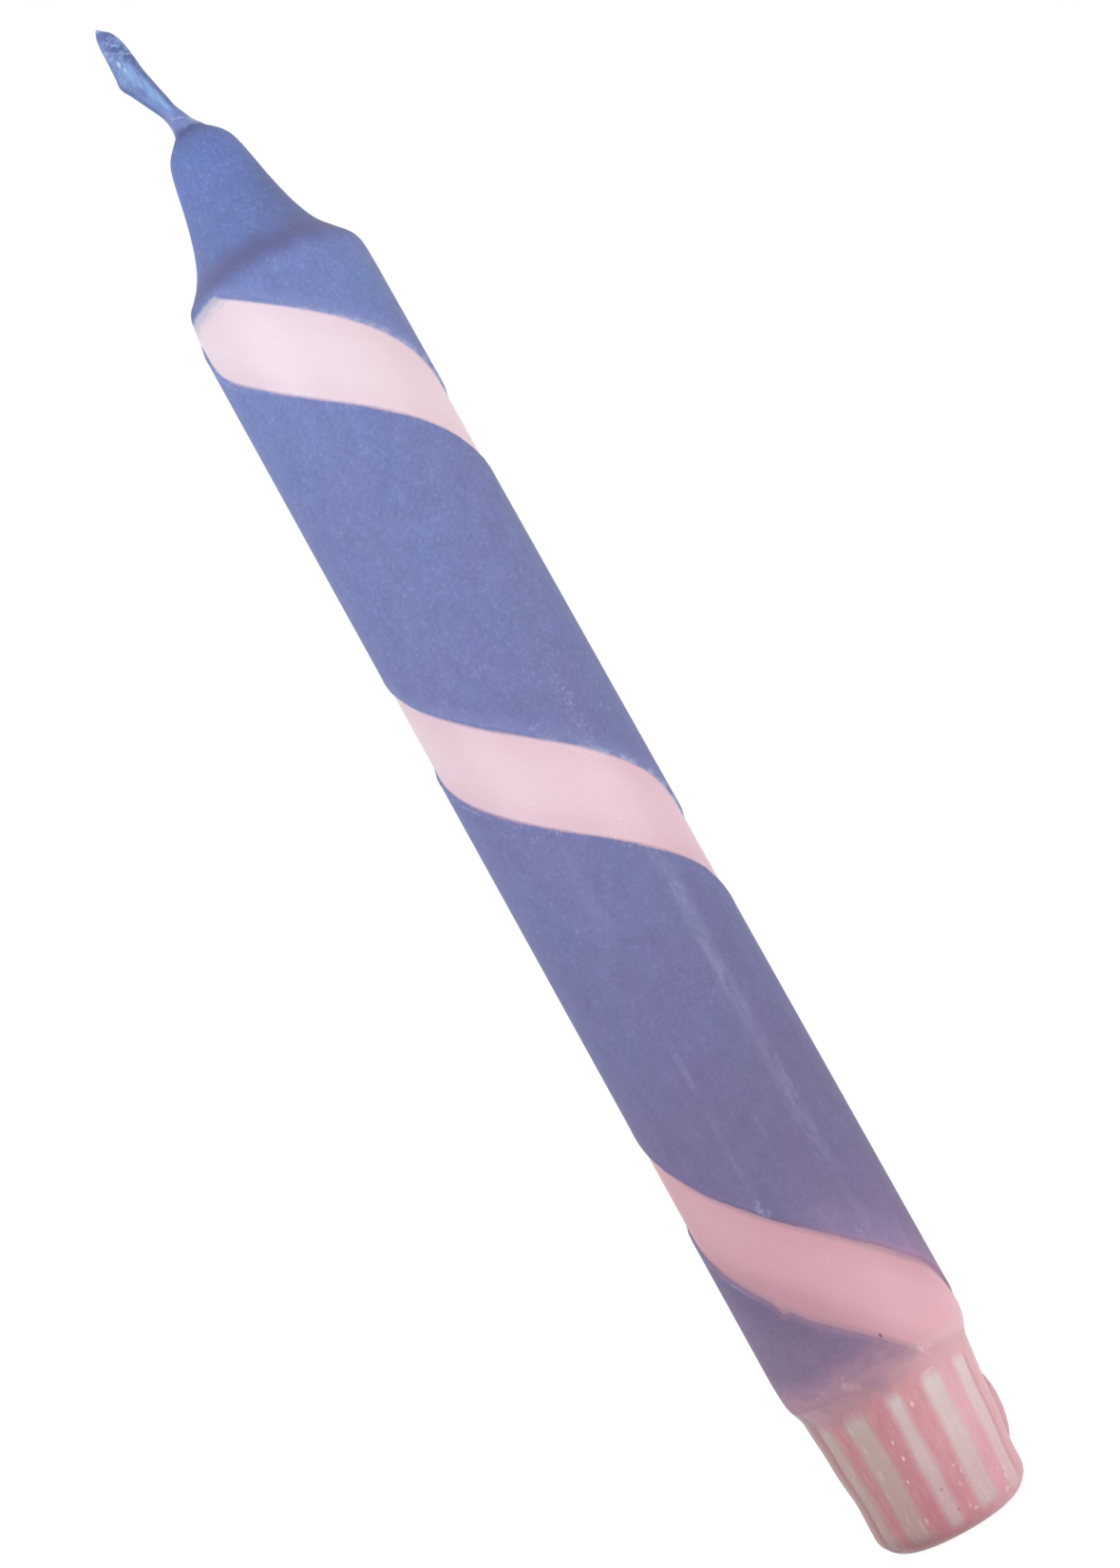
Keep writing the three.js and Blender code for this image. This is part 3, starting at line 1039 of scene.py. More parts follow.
# %% [markdown]
# Pink wax is satin, and it is paler towards the crown, where the dip was short, than at
# the foot, where the candle went in first; part of this change is painted light, which
# falls off towards the foot. Painted shade darkens its left side low down, painted warm
# light tints its right side higher up, and painted light brightens its lower right. In the
# window it is a little darker a millimetre inside each edge, as painted shade, and right
# beside the blue it has a lilac fringe, where a trace of blue crept under the tape; low
# down the fringe is wider and darker, as painted shade. The pool at the end has a pale
# crumbly rim over a soft painted highlight. Each change is one mask and one colour, laid
# over what lies below it.

# %% Pink wax down the candle
WINDOW_HEIGHTS = (20, 170)
# From the foot to the crown: the place, and red, green and blue there; partly the dye, partly
# painted light that falls off towards the foot
PINK_DOWN = [
    (0.00, 236, 180, 192), (0.05, 230, 176, 188), (0.20, 230, 182, 193),
    (0.50, 248, 217, 229), (0.80, 255, 235, 246), (0.94, 254, 234, 246),
]
# Painted light and shade: warm light on the right high up, shade on the left low down.
PINK_LIGHT_AND_SHADE = [
    ((0.02, 0.2), (60, 110), (1.0, 0.92, 0.92)),
    ((0.04, -0.07), (50, 37), (0.93, 0.88, 0.89)),
    ((-0.13, -0.21), (60, 46), (0.88, 0.8, 0.83)),
]
# Degrees from the front towards the right, height, half the width and length, strength
PALE_SPECKS = [
    (-15.2, 94.6, 0.12, 0.12, 0.7), (-11.7, 93.7, 0.10, 0.12, 0.7), (24.0, 96.6, 0.12, 0.12, 0.8),
    (24.0, 88.4, 0.14, 0.14, 0.6), (36.6, 85.5, 0.16, 0.14, 0.5),
]
PINK_UNDER_NICK = [(360 * (nick_turns - 2), 31.8, 0.55, 0.75, 0.9)]
POOL_MARK = [(9.6, 23.95, 0.18, 0.28, 0.85)]
print(f"pink wax: {len(PINK_DOWN)} colours from foot to crown, {len(PALE_SPECKS)} pale specks")


def pink_body(wax, clouds):
    body = wax.toned(wax.gradient(*WINDOW_HEIGHTS, PINK_DOWN), PINK_LIGHT_AND_SHADE)
    body = layered(body, [(clouds.ramp(0.45, 0.75) * 0.08, (214, 165, 176))])
    return body.scaled(wax.painted_light_lower_right() + 0.12 * (wax.grain(0.3, seed=8) - 0.5))


def beside_blue(wax, body, clouds, below, inside):
    """Pink in its window: painted shade inside the edges and low on the left, a lilac fringe that
    is wider and darker low down as painted shade, and a smeared top.
    """
    low_down = wax.height.ramp(64, 34)
    dim = wax.gradient(*WINDOW_HEIGHTS, [(0, 208, 150, 162), (1, 240, 206, 220)])
    painted_hollow_shade = inside.ramp(-0.2, 0.6) * inside.ramp(3.8, 0.6)
    body = (painted_hollow_shade * (0.14 + 0.1 * clouds + 0.16 * low_down)).blend(body, dim)
    # Painted shade on the left, below the middle of the lowest window.
    shaded = below.ramp(1.0, 5.0) * wax.height.ramp(44, 34) * wax.side.ramp(0.06, -0.05)
    lilac = wax.gradient(*WINDOW_HEIGHTS, [(0, 176, 138, 156), (1, 196, 182, 222)])
    # The fringe is wider and darker low down, as painted shade.
    fringe = inside + 0.2 * (wax.grain(0.7, detail=2, seed=33) - 0.5)
    fringe = fringe.ramp(0.35 + 0.55 * low_down, -0.05) * wax.height.ramp(19.8, 21)
    smear = wax.height + 1.8 * (wax.grain(1.2, stretch=0.5, seed=25) - 0.5)
    level = smear.ramp(window_level_top - 1.8, window_level_top) * inside.ramp(-0.4, 0.1)
    return layered(body.tinted(shaded, (0.86, 0.84, 0.87)), [
        (fringe * 0.8, lilac),
        (wax.spots(PINK_UNDER_NICK, body_radius), (206, 150, 164)),
        (level * 0.8, (184, 190, 216)),
    ])


def pool_and_specks(wax, body, clouds):
    crumbs = wax.grain(0.34, detail=2, seed=21)
    specks = crumbs.ramp(0.74, 0.8) * wax.grain(4, detail=1, seed=23).ramp(0.5, 0.6)
    uneven = wax.height + 0.5 * (clouds - 0.5)
    # The pool's pale rim is partly crumbs and partly a soft painted highlight.
    pool_rim = uneven.ramp(21.6, 20.4) * uneven.ramp(19.7, 20.1)
    return layered(body, [
        (specks * 0.7, (255, 240, 244)),
        (wax.spots(PALE_SPECKS, body_radius), (255, 244, 248)),
        (pool_rim * (0.25 + 0.75 * crumbs.ramp(0.5, 0.66)), (244, 208, 212)),
        (wax.spots(POOL_MARK, body_radius), (120, 70, 100)),
    ])


# %% Pink wax
def pink_wax():
    wax = Finish("pink dipped wax")
    clouds = wax.grain(6, stretch=1.4, seed=2)
    below, inside = tape_track(wax)
    body = beside_blue(wax, pink_body(wax, clouds), clouds, below, inside)
    body = pool_and_specks(wax, body, clouds)
    on_foot = wax.height.ramp(19.7, 18.8).most(inside.ramp(0.1, -0.3))
    run = wax.attribute("run")
    # Painted shade: the run is darker on its side towards the foot, where its crevice is.
    run_colour_and_shade = run.ramp(0.2, 0.6).blend(colour(208, 138, 150), colour(234, 178, 188))
    body = layered(body, [(on_foot, foot_colour(wax)), (run.ramp(0.0, 0.05), run_colour_and_shade)])
    bumps = wax.grain(3.0, detail=2, seed=41) + 0.12 * wax.grain(0.5, seed=31)
    return wax.shade(
        {"Base Color": body, "Roughness": 0.44 - 0.04 * on_foot,
         "Coat Weight": 0.1 + 0.1 * on_foot, "Coat Roughness": 0.15},
        bumps, bump_depth=0.05)


pink_material = pink_wax()
finish_piece("pink_wax_coat", build_pink_coat(), pink_material, "pink_dip_coat")

# %% [markdown]
# The blue between two turns of the window is one long band that winds down the candle.
# A flat grid is the simplest strip to start from: its columns become steps round the
# candle and its rows lie along the window's edges, close together beside them, where
# the coat curves down to the pink, and far apart in the middle. The crown is spun from
# the outline and welded to the band's top row. Then both become a layer of wax, whose
# thickness swells into a lip along the window and goes to nothing at its edge.

# %% The blue coat as a sheet
blue_sides = 240
# Distances from the window's edge at which the grid's rows lie
edge_rows = [0, 0.05, 0.12, 0.2, 0.3, 0.42, 0.56, 0.75, 1.0, 1.4, 2.0, 3.0]
middle_rows = 11
band_rows = 2 * (len(edge_rows) - 1) + middle_rows
crown_settle = 1.7
steep_outline = [point for point in fine_outline if point.x > 10 and point.y > 1]


def radius_at(height):
    """The finished radius at a height between the rim and the bell."""
    if body_bottom <= height <= body_top:
        return body_radius
    for low, high in zip(steep_outline, steep_outline[1:]):
        if low.y <= height <= high.y:
            return low.lerp(high, (height - low.y) / (high.y - low.y)).x
    return body_radius


def band_limits(turns):
    """The band's lower and upper edge, between two turns of the window."""
    ceiling = window_ceiling(turns)
    low = min(max(window_top(turns + 1), rim_height), ceiling)
    high = min(max(window_bottom(turns), rim_height), ceiling)
    return low, max(high, low)


def row_height(row, low, high):
    """The height of one of the band's rows, which crowd towards both edges."""
    reach = edge_rows[-1]
    squeeze = min(1, (high - low) / (2 * reach + middle_rows * 0.1))
    if row < len(edge_rows):
        return low + edge_rows[row] * squeeze
    if band_rows - row < len(edge_rows):
        return high - edge_rows[band_rows - row] * squeeze
    share = (row - len(edge_rows) + 1) / middle_rows
    return low + reach * squeeze + share * (high - low - 2 * reach * squeeze)


def band_columns():
    """The first and last column in which the band has any height."""
    columns = []
    for column in range(-2 * blue_sides, 3 * blue_sides):
        low, high = band_limits(column / blue_sides)
        if high - low > WELD:
            columns.append(column)
    return columns[0] - 1, columns[-1] + 1


first_column, last_column = band_columns()
band_columns_in_all = last_column - first_column
print(f"band of {band_columns_in_all} columns and {band_rows} rows")


# %% The band and the crown as sheets
def add_band(bm):
    grid = bmesh.ops.create_grid(
        bm, x_segments=band_columns_in_all, y_segments=band_rows, size=0.5)
    for vert in grid["verts"]:
        column = round((vert.co.x + 0.5) * band_columns_in_all)
        row = round((vert.co.y + 0.5) * band_rows)
        turns = (first_column + column) / blue_sides
        height = row_height(row, *band_limits(turns))
        vert.co = on_candle(turns, radius_at(height), height)


def add_crown(bm):
    up_to_bell = bell_foot.y - window_level_top
    rises = [row for row in edge_rows if row < up_to_bell - 0.3]
    rises.append(up_to_bell - 0.25)
    heights = [window_level_top + rise for rise in rises]
    shoulder = [Vector((radius_at(height), height)) for height in heights]
    spin_sheet(bm, shoulder + walk({"bell": 44, "dome": 15, "land": 5}), blue_sides)
    for vert in bm.verts:
        share = smooth(vert.co.z, window_level_top + crown_settle, window_level_top)
        if share > 0:
            turns = turns_of(vert.co)
            height = vert.co.z + (window_ceiling(turns) - window_level_top) * share
            vert.co = on_candle(turns, radius_at(height), height)


print(f"the crown's sheet starts at {window_level_top:.1f}, the band ends at {rim_height:.1f}")


# %% The blue coat as a layer
edge_softness = 0.5
level_edge_softness = 1.8
lip_rise = 0.05
lip_from_edge = 0.5
lip_width = 0.25
rim_softness = 0.8
wax_overlap = 0.015
print(f"lip: {lip_rise} mm proud, {lip_from_edge} mm from the window")


def blue_depths(point):
    turns = turns_of(point)
    from_window = window_distance(turns, point.z)
    ends = pink_start(point.z) + wax_overlap
    over_level = smooth(point.z, window_level_top - 0.4, window_level_top + 0.5)
    softness = edge_softness + (level_edge_softness - edge_softness) * over_level
    part = smooth(from_window, 0, softness)
    part *= smooth(point.z, rim_height, rim_height + rim_softness)
    part *= smooth(point.xy.length, wick_bore, wick_bore + edge_softness)
    lip = swell(from_window, lip_from_edge, lip_width)
    uneven = 0.7 + noise.noise(point * 0.8)
    return ends - ends * part - lip_rise * lip * uneven * part, ends


def build_blue_coat():
    bm = bmesh.new()
    add_crown(bm)
    add_band(bm)
    bmesh.ops.remove_doubles(bm, verts=bm.verts, dist=WELD)
    face_outwards(bm)
    edge = bm.verts.layers.float.new("edge")
    for vert in bm.verts:
        vert[edge] = window_distance(turns_of(vert.co), vert.co.z)
    make_layer(bm, blue_depths, closes=True)
    bmesh.ops.dissolve_degenerate(bm, edges=bm.edges, dist=WELD / 10)
    stray(bm)
    return bm


# %% [markdown]
# The blue is matt, with a fine mottled grain and short pale flecks. It turns from
# periwinkle at the crown to a dusky violet at the foot, partly as painted light that falls
# off towards the foot, with cloudy patches that are a little greener or redder. Pale bloom
# lies in streaks down the candle, where fingers rubbed it. Painted shade darkens the hollow
# under the bell, quickly below and slowly above, the right of the bell and of the body,
# and the crown beside the wick. Near the window the coat is so thin that its edge is
# lilac, and on some stretches the torn lip is pale, partly with a painted highlight on its
# raised lip. Painted shade lies under the lowest window, and painted light above it and on
# the lower right. At its lower rim the film is thin again, and the pink comes through in
# mauve.

# %% Blue wax down the candle
BLUE_HEIGHTS = (19, 189)
# From the foot to the crown: the place, and red, green and blue there; partly the dye, partly
# painted light that falls off towards the foot
BLUE_DOWN = [
    (0.00, 134, 112, 142), (0.18, 120, 111, 153), (0.28, 117, 117, 165),
    (0.42, 120, 124, 177), (0.65, 121, 132, 188), (0.84, 121, 138, 200),
    (0.90, 109, 127, 189), (0.96, 109, 129, 197), (1.00, 92, 108, 166),
]
# Painted shade: the right limb of the body is darker and warmer.
RIGHT_LIMB_SHADE = [((0.13, 0.22), (80, 150), (0.91, 0.87, 0.81))]
# Degrees from the front towards the right, from and to which height, half width, strength
BLOOM = [
    (33.0, 38, 88, 1.3, 0.34), (33.5, 27, 50, 0.8, 0.16), (31.3, 92, 113, 0.9, 0.6),
    (-14.0, 55, 66, 0.5, 0.32), (-14.4, 40, 58, 0.5, 0.16), (-14.4, 72, 92, 1.1, 0.16),
    (8.0, 47, 53, 0.25, 0.22), (-2.0, 50, 56, 0.2, 0.16), (100, 28, 120, 1.0, 0.2),
    (-118, 60, 140, 0.8, 0.2), (166, 35, 90, 0.9, 0.25),
]
# Degrees from the front towards the right, height, half the width and length, strength
FILM_CRUMBS = [
    (-21.5, 20.9, 0.50, 0.50, 0.35), (-18.5, 20.5, 0.60, 0.35, 0.35),
    (-15.5, 20.1, 0.35, 0.40, 0.35), (-20.4, 21.8, 0.30, 0.30, 0.25),
    (-41.0, 20.9, 0.30, 0.20, 0.30), (-36.5, 21.2, 0.20, 0.30, 0.30),
]
SPECKS = [
    (-14.9, 42.6, 0.6, 1.0, 0.4), (-12.8, 41.6, 0.7, 0.5, 0.3), (28.0, 34.6, 0.5, 1.3, 0.2),
    (-37.0, 92.6, 0.5, 0.3, 0.4), (6.0, 102.2, 0.7, 0.4, 0.5), (-42.0, 175.7, 0.3, 0.5, 0.5),
    (43.0, 175.2, 0.3, 0.4, 0.4), (-57.0, 172.8, 0.3, 0.6, 0.4), (-3.0, 186.4, 0.7, 0.5, 0.3),
]
longest_fade = 9
print(f"blue wax: {len(BLUE_DOWN)} colours from foot to crown, {len(BLOOM)} streaks of bloom")


def bloom(wax):
    """Where pale bloom lies: streaks down the candle, broken up by fine cross-lines."""
    wander = 0.008 * (wax.grain(14, detail=2, seed=17) - 0.5)
    streaks = []
    for degrees, low, high, half_width, strength in BLOOM:
        across = (wax.turns - degrees / 360 + wander).size() * (2 * math.pi * body_radius)
        fade = min(longest_fade, (high - low) / 2)
        along = wax.height.ramp(low, low + fade) * wax.height.ramp(high, high - fade)
        streaks.append(across.ramp(half_width * 1.3, half_width * 0.1) * along * strength)
    broken = wax.grain(0.7, detail=4, stretch=3, seed=13).ramp(0.36, 0.62)
    lines = wax.grain(0.9, stretch=0.22, seed=15).ramp(0.4, 0.65)
    rubbed = wax.grain(4.5, detail=2, stretch=2, seed=79).ramp(0.38, 0.6)
    cloudy = (0.15 + 0.65 * broken + 0.35 * lines) * (0.55 + 0.5 * rubbed)
    specked = wax.grain(0.36, detail=2, stretch=1.6, seed=75).ramp(0.52, 0.64)
    high_up = wax.height.ramp(88, 96)
    return strongest(streaks) * (cloudy * (1 - high_up) + specked * high_up)


def blue_body(wax, mottling):
    body = wax.toned(wax.gradient(*BLUE_HEIGHTS, BLUE_DOWN), RIGHT_LIMB_SHADE)
    patches = wax.grain(5, stretch=2.4, seed=4)
    body = body.tinted(patches.ramp(0.48, 0.7), (0.96, 1.01, 1.0))
    body = body.tinted(patches.ramp(0.5, 0.3), (1.01, 0.97, 1.0))
    blotches = wax.grain(1.8, stretch=1.5, seed=6) - 0.5
    contrast = 0.5 + 0.35 * wax.height.ramp(60, 150)
    body = body.scaled(wax.painted_light_lower_right() + 0.7 * contrast * (mottling - 0.5) + 0.3 * blotches)
    fibres = (wax.grain(0.9, detail=1, stretch=1.3, seed=19) - 0.5).size().ramp(0.06, 0.0)
    fibres = fibres * wax.grain(0.6, detail=1, seed=73).ramp(0.5, 0.62)
    specks = wax.spots(SPECKS, body_radius) * wax.grain(0.34, detail=2, seed=77).ramp(0.4, 0.62)
    return layered(body, [
        (fibres * (0.05 + 0.27 * wax.height.ramp(30, 130)), (156, 172, 220)),
        (bloom(wax), (170, 174, 216)),
        (specks, (184, 184, 222)),
    ])


# %% The blue of the crown and beside the window
hollow_above, hollow_below = 4.4, 3.0
wick_shade = 2.6
print(f"the crown is darker {hollow_above} mm over the bell's foot and {wick_shade} under its top")


def crown_shade(wax, body):
    """Painted shade: darker in the hollow under the bell, on its right, and beside the wick."""
    over_hollow = wax.height - bell_start + 1.3 * (wax.grain(2.0, detail=4, seed=23) - 0.5)
    painted_hollow_shade = over_hollow.ramp(-hollow_below, 0.0) * over_hollow.ramp(hollow_above, 0.0)
    body = layered(body, [(painted_hollow_shade * 0.66, (92, 88, 134))])
    bell_right_shade = wax.height.ramp(166, 171) * wax.height.ramp(184, 174)
    body = body.tinted(bell_right_shade * wax.side.ramp(0.04, 0.16), (0.86, 0.81, 0.8))
    shade_beside_wick = wax.height.ramp(crown_top - wick_shade, crown_top - 0.5)
    return layered(body, [(shade_beside_wick * 0.8, (82, 95, 150))])


def thin_edges(wax, body, below, edge):
    """The coat beside the window: a lilac edge with crumbs, painted shade below the lowest window,
    and painted light above it and low on the right.
    """
    film_tint = wax.gradient(*WINDOW_HEIGHTS, [(0, 168, 130, 158), (1, 184, 180, 224)])
    edge_width = 0.35 + 0.95 * wax.height.ramp(46, 26)
    crumbs = wax.grain(0.32, detail=1, seed=67).ramp(0.54, 0.66)
    crumbs = crumbs * wax.grain(2.2, detail=2, seed=71).ramp(0.42, 0.6)
    crumbs = crumbs * (0.12 + 0.6 * wax.height.ramp(40, 80))
    body = layered(body, [
        (edge.ramp(edge_width, -0.1) * 0.75, film_tint),
        (crumbs * edge.ramp(0.9, 0.1), (200, 198, 230)),
    ])
    shade_under_last = below.ramp(5.5, 8) * below.ramp(14, 8) * wax.height.ramp(43, 36)
    body = body.tinted(shade_under_last * wax.side.ramp(0.0, -0.08), (0.86, 0.85, 0.86))
    over_window = below.ramp(-3, -5)
    hazy = over_window * edge.ramp(2.6, 0.4) * wax.height.ramp(60, 90)
    body = layered(body, [(hazy * 0.22, (160, 172, 228))])
    light_over_last = over_window * below.ramp(-14, -7) * wax.height.ramp(50, 42)
    body = body.tinted(light_over_last * wax.side.ramp(-0.02, 0.05), (1.3, 1.27, 1.22))
    light_right_low = wax.side.ramp(0.09, 0.13) * wax.side.ramp(0.19, 0.15) * wax.height.ramp(56, 46)
    return body.tinted(light_right_low, (1.1, 1.09, 1.13))


def torn_lips(wax, below, edge):
    """Where the window's torn edge is pale: over it, under it, and along its level top. Under it,
    near the left limb, the paleness on the raised lip is a painted highlight.
    """
    under_window = below.ramp(3, 5) * wax.side.ramp(-0.11, -0.17)
    over_window = below.ramp(-3, -5) * wax.side.ramp(-0.06, 0.14) * wax.height.ramp(50, 70)
    # The raised lip near the left limb catches a painted highlight.
    raised = (wax.attribute("edge") - 0.5).size().ramp(0.2, 0.03)
    torn_lip = under_window * raised * 0.35 + over_window * edge.ramp(0.65, 0.15) * 0.8
    level_lip = (wax.height - window_level_top).ramp(-0.25, 0.1) * edge.ramp(0.6, 0.1)
    ragged = wax.grain(1.3, detail=4, seed=29).ramp(0.38, 0.62)
    return torn_lip * (0.15 + 0.85 * ragged) + level_lip * (0.25 + 0.5 * ragged)


def rim_film(wax, body):
    """The thin film at the coat's lower rim, through which the pink shows."""
    wandering = 1.6 * (wax.grain(3.2, detail=4, seed=37) - 0.5)
    film = (wax.height + wandering - wax.side.ramp(-0.05, 0.03)).ramp(24.6, 20.6)
    thin = wax.grain(1.5, stretch=0.7, seed=43).ramp(0.3, 0.75)
    return layered(body, [
        (film * 0.95, thin.blend(colour(166, 129, 154), colour(186, 146, 166))),
        ((wax.height + 0.8 * wandering).ramp(22.0, 19.2), film_colour(wax)),
        (wax.spots(FILM_CRUMBS, body_radius), (212, 176, 190)),
    ])


# %% Blue wax
def blue_wax():
    wax = Finish("blue dipped wax")
    mottling = wax.grain(0.5, detail=5, seed=1)
    below, _ = tape_track(wax)
    edge = wax.attribute("edge") + 0.4 * (mottling - 0.5)
    body = crown_shade(wax, blue_body(wax, mottling))
    body = thin_edges(wax, body, below, edge)
    body = layered(body, [(torn_lips(wax, below, edge), (188, 198, 232))])
    body = rim_film(wax, body)
    fine = wax.grain(0.22, detail=2, seed=47)
    bumps = mottling + 0.7 * fine + 1.2 * wax.grain(4, detail=2, seed=53)
    return wax.shade(
        {"Base Color": body, "Roughness": 0.56 + 0.12 * mottling},
        bumps, bump_depth=0.045)


finish_piece("blue_wax_coat", build_blue_coat(), blue_wax(), "blue_dip_coat")

# %% [markdown]
# The last dip ran up the wick and set there as a thin leaf: a collar on the crown, a
# narrow neck, then a flat blade that leans to the left, with a knob on its left edge and
# a pointed tip. Its two sides are drawn as curves through a few points. A round tube,
# spun from a straight outline, is then pressed between them, which keeps its closed ends.

# %% The leaf of wax on the wick
# Height over the crown, left side, right side and half the depth
LEAF = [
    (-0.80, -2.30, 2.15, 2.20), (-0.30, -2.12, 1.92, 1.98), (0.10, -2.03, 1.66, 1.76),
    (0.60, -1.95, 1.30, 1.50), (1.20, -1.92, 0.92, 1.25), (2.40, -2.08, 0.38, 1.02),
    (3.60, -2.52, -0.12, 0.92), (5.40, -3.38, -0.52, 0.96), (7.20, -4.28, -0.92, 1.05),
    (8.70, -5.00, -1.22, 1.08), (10.20, -4.92, -1.48, 1.02), (12.60, -4.84, -1.72, 0.90),
    (14.40, -4.80, -2.15, 0.70), (15.60, -4.64, -2.76, 0.48), (16.30, -4.42, -3.55, 0.26),
    (16.72, -4.18, -3.92, 0.08),
]
leaf_sides = 96
leaf_steps = 110
crease_depth = 0.07
crackle_depth = 0.10
wrinkles_start, wrinkles_end = (7, 11), (16.5, 14)
edge_crease = 0.25
widest = max(right - left for height, left, right, _ in LEAF if height > 5)
print(f"blade {widest:.1f} mm wide, {LEAF[-1][0]} mm over the crown")


def build_leaf():
    bm = bmesh.new()
    foot = Vector((1, LEAF[0][0]))
    tip = Vector((1, LEAF[-1][0]))
    side = [foot.lerp(tip, step / leaf_steps) for step in range(leaf_steps + 1)]
    spin_sheet(bm, [Vector((0, foot.y))] + side + [Vector((0, tip.y))], leaf_sides)
    bmesh.ops.recalc_face_normals(bm, faces=bm.faces)
    across = bm.verts.layers.float.new("across")
    for vert in bm.verts:
        vert[across] = vert.co.x
        left, right, depth = through(LEAF, vert.co.z)
        middle = (left + right) / 2
        half = (right - left) / 2
        wrinkled = smooth(vert.co.z, *wrinkles_start) * smooth(vert.co.z, *wrinkles_end)
        spot = Vector((vert.co.x * half, vert.co.y * depth, vert.co.z))
        creases = noise.noise(Vector((spot.x * 1.1, spot.y, spot.z * 0.5)))
        crackle = abs(noise.noise(spot * 1.7 + Vector((4, 0, 0))))
        fuller = crease_depth * creases - crackle_depth * wrinkled * crackle
        vert.co.x = middle + vert.co.x * half * (1 + edge_crease * fuller)
        vert.co.y = vert.co.y * depth * (1 + fuller)
        vert.co.z += crown_top + skin_gap
    return bm


# %% [markdown]
# So thin, the blue is paler, and it shines like a varnish. In the blade's upper part it
# set in wrinkles; a web of fine ridges there is painted lighter as a highlight, with small
# bright glints painted on, and the collar on the crown is darkened as painted shade.

# %% Pale blue wax on the wick
# Painted highlights. The glints' places sideways and over the crown, half their width and length,
# strength
GLINTS_ON_LEAF = [
    (-3.70, 11.15, 0.22, 0.50, 1.0), (-3.36, 10.20, 0.16, 0.30, 0.9),
    (-2.80, 12.60, 0.30, 0.14, 0.35), (-2.62, 7.60, 0.12, 0.45, 0.4),
    (-3.20, 13.75, 0.26, 0.14, 0.4), (-3.90, 9.00, 0.32, 0.12, 0.35),
]


def glints_on_leaf(wax, over):
    """The bright glints on the blade's front."""
    def across_to(x, half_width):
        return (wax.x - x) / half_width
    ragged = 1.4 * (wax.grain(0.35, detail=1, seed=51) - 0.5)
    return wax.marks(GLINTS_ON_LEAF, across_to, over, ragged, 0.0) * wax.y.ramp(0.2, -0.2)


def leaf_base(wax, over, clouds):
    """The smooth blade: a streak down it, painted as a highlight and broken into strands, between
    rims darkened as painted shade.
    """
    across = wax.attribute("across")
    streak_at = over.ramp(13, 7.5) * 0.36 - 0.12 - 0.15 * over.ramp(6, 2)
    highlight_streak = (across - streak_at + 0.5 * (clouds - 0.5)).size().ramp(0.6, 0.05)
    strands = wax.grain(0.5, stretch=5, seed=17).ramp(0.3, 0.62)
    highlight_streak = highlight_streak * over.ramp(13.2, 11) * over.ramp(1.6, 4) * (0.45 + 0.55 * strands)
    # Painted shade: the blade's rims are darker.
    rims = across.ramp(0.6, 0.98) * over.ramp(2, 5) + across.ramp(-0.7, -1.0) * 0.6
    body = clouds.ramp(0.3, 0.7).blend(colour(88, 110, 174), colour(110, 140, 204))
    return layered(body, [(highlight_streak, (148, 186, 242)), (rims * 0.75, (76, 92, 150))])


def leaf_wax():
    wax = Finish("thin blue wax on the wick")
    over = wax.height - crown_top
    clouds = wax.grain(1.3, stretch=2.6, seed=3)
    bent = wax.grain(0.7, detail=1, seed=9)
    folds = wax.grain(1.1, detail=1, seed=12) + 0.35 * (bent - 0.5)
    curls = (folds - 0.5).size().ramp(0.08, 0.0)
    wrinkled = (over + 1.6 * (clouds - 0.5)).ramp(10.4, 11.8) * over.ramp(15.6, 14.4)
    # Painted highlights: the wrinkles' ridges are lighter, and the glints are bright marks.
    creased = curls * wrinkled + 0.35 * curls * over.ramp(5, 8) * over.ramp(12, 10)
    glints = glints_on_leaf(wax, over)
    neck = over.ramp(3.8, 1.6)
    flecks = wax.grain(0.6, detail=2, seed=15).ramp(0.56, 0.7) * neck
    scratch = (wax.x * 0.43 + over - 1.4).size().ramp(0.14, 0.03) * wax.x.ramp(-1.5, -1.1)
    # Painted shade: the collar where the blade meets the crown is darker.
    collar = (over + 1.1 * (clouds - 0.5) - 0.12 * wax.x * wax.x).ramp(0.4, -0.5)
    in_folds = folds.ramp(0.35, 0.6).blend(colour(80, 96, 162), colour(108, 130, 196))
    body = layered(leaf_base(wax, over, clouds), [
        (wrinkled * 0.7, in_folds),
        (creased * 0.7, (154, 180, 234)),
        (glints * 0.9, (198, 230, 250)),
        (over.ramp(16.0, 16.6) * 0.7, (196, 214, 234)),
        (neck * 0.7, (124, 140, 202)),
        (flecks * 0.4, (160, 176, 226)),
        (scratch * 0.6, (166, 186, 234)),
        (collar * 0.9, (82, 95, 150)),
    ])
    return wax.shade(
        {"Base Color": body, "Roughness": 0.36, "Coat Weight": 0.3, "Coat Roughness": 0.2},
        clouds + 0.5 * creased + 0.5 * glints, bump_depth=0.08)


finish_piece("wick_wax_leaf", build_leaf(), leaf_wax(), "wick_wax_coat")

# %% [markdown]
# On the right side of the foot a run of pink wax set as a small flap. It starts as a
# ball, is flattened and stretched into a drop, and its outer edge is drawn out thin, so
# that it stands a little off the foot and throws a fine shadow line. Where it meets the
# foot its colour is also darker, as painted shade.

# %% The run of wax on the foot
run_turns = 92 / 360
run_height = 9.4
run_length = 7.8
run_width = 3.2
run_proud = 0.8
run_sunk = 0.12
run_bulge = 1.5
run_inside = 0.5
run_narrowing = 0.25
run_edge_thinning = 0.35
run_waviness = 0.05
print(f"run {run_length} mm long, {run_proud} mm proud of the foot")


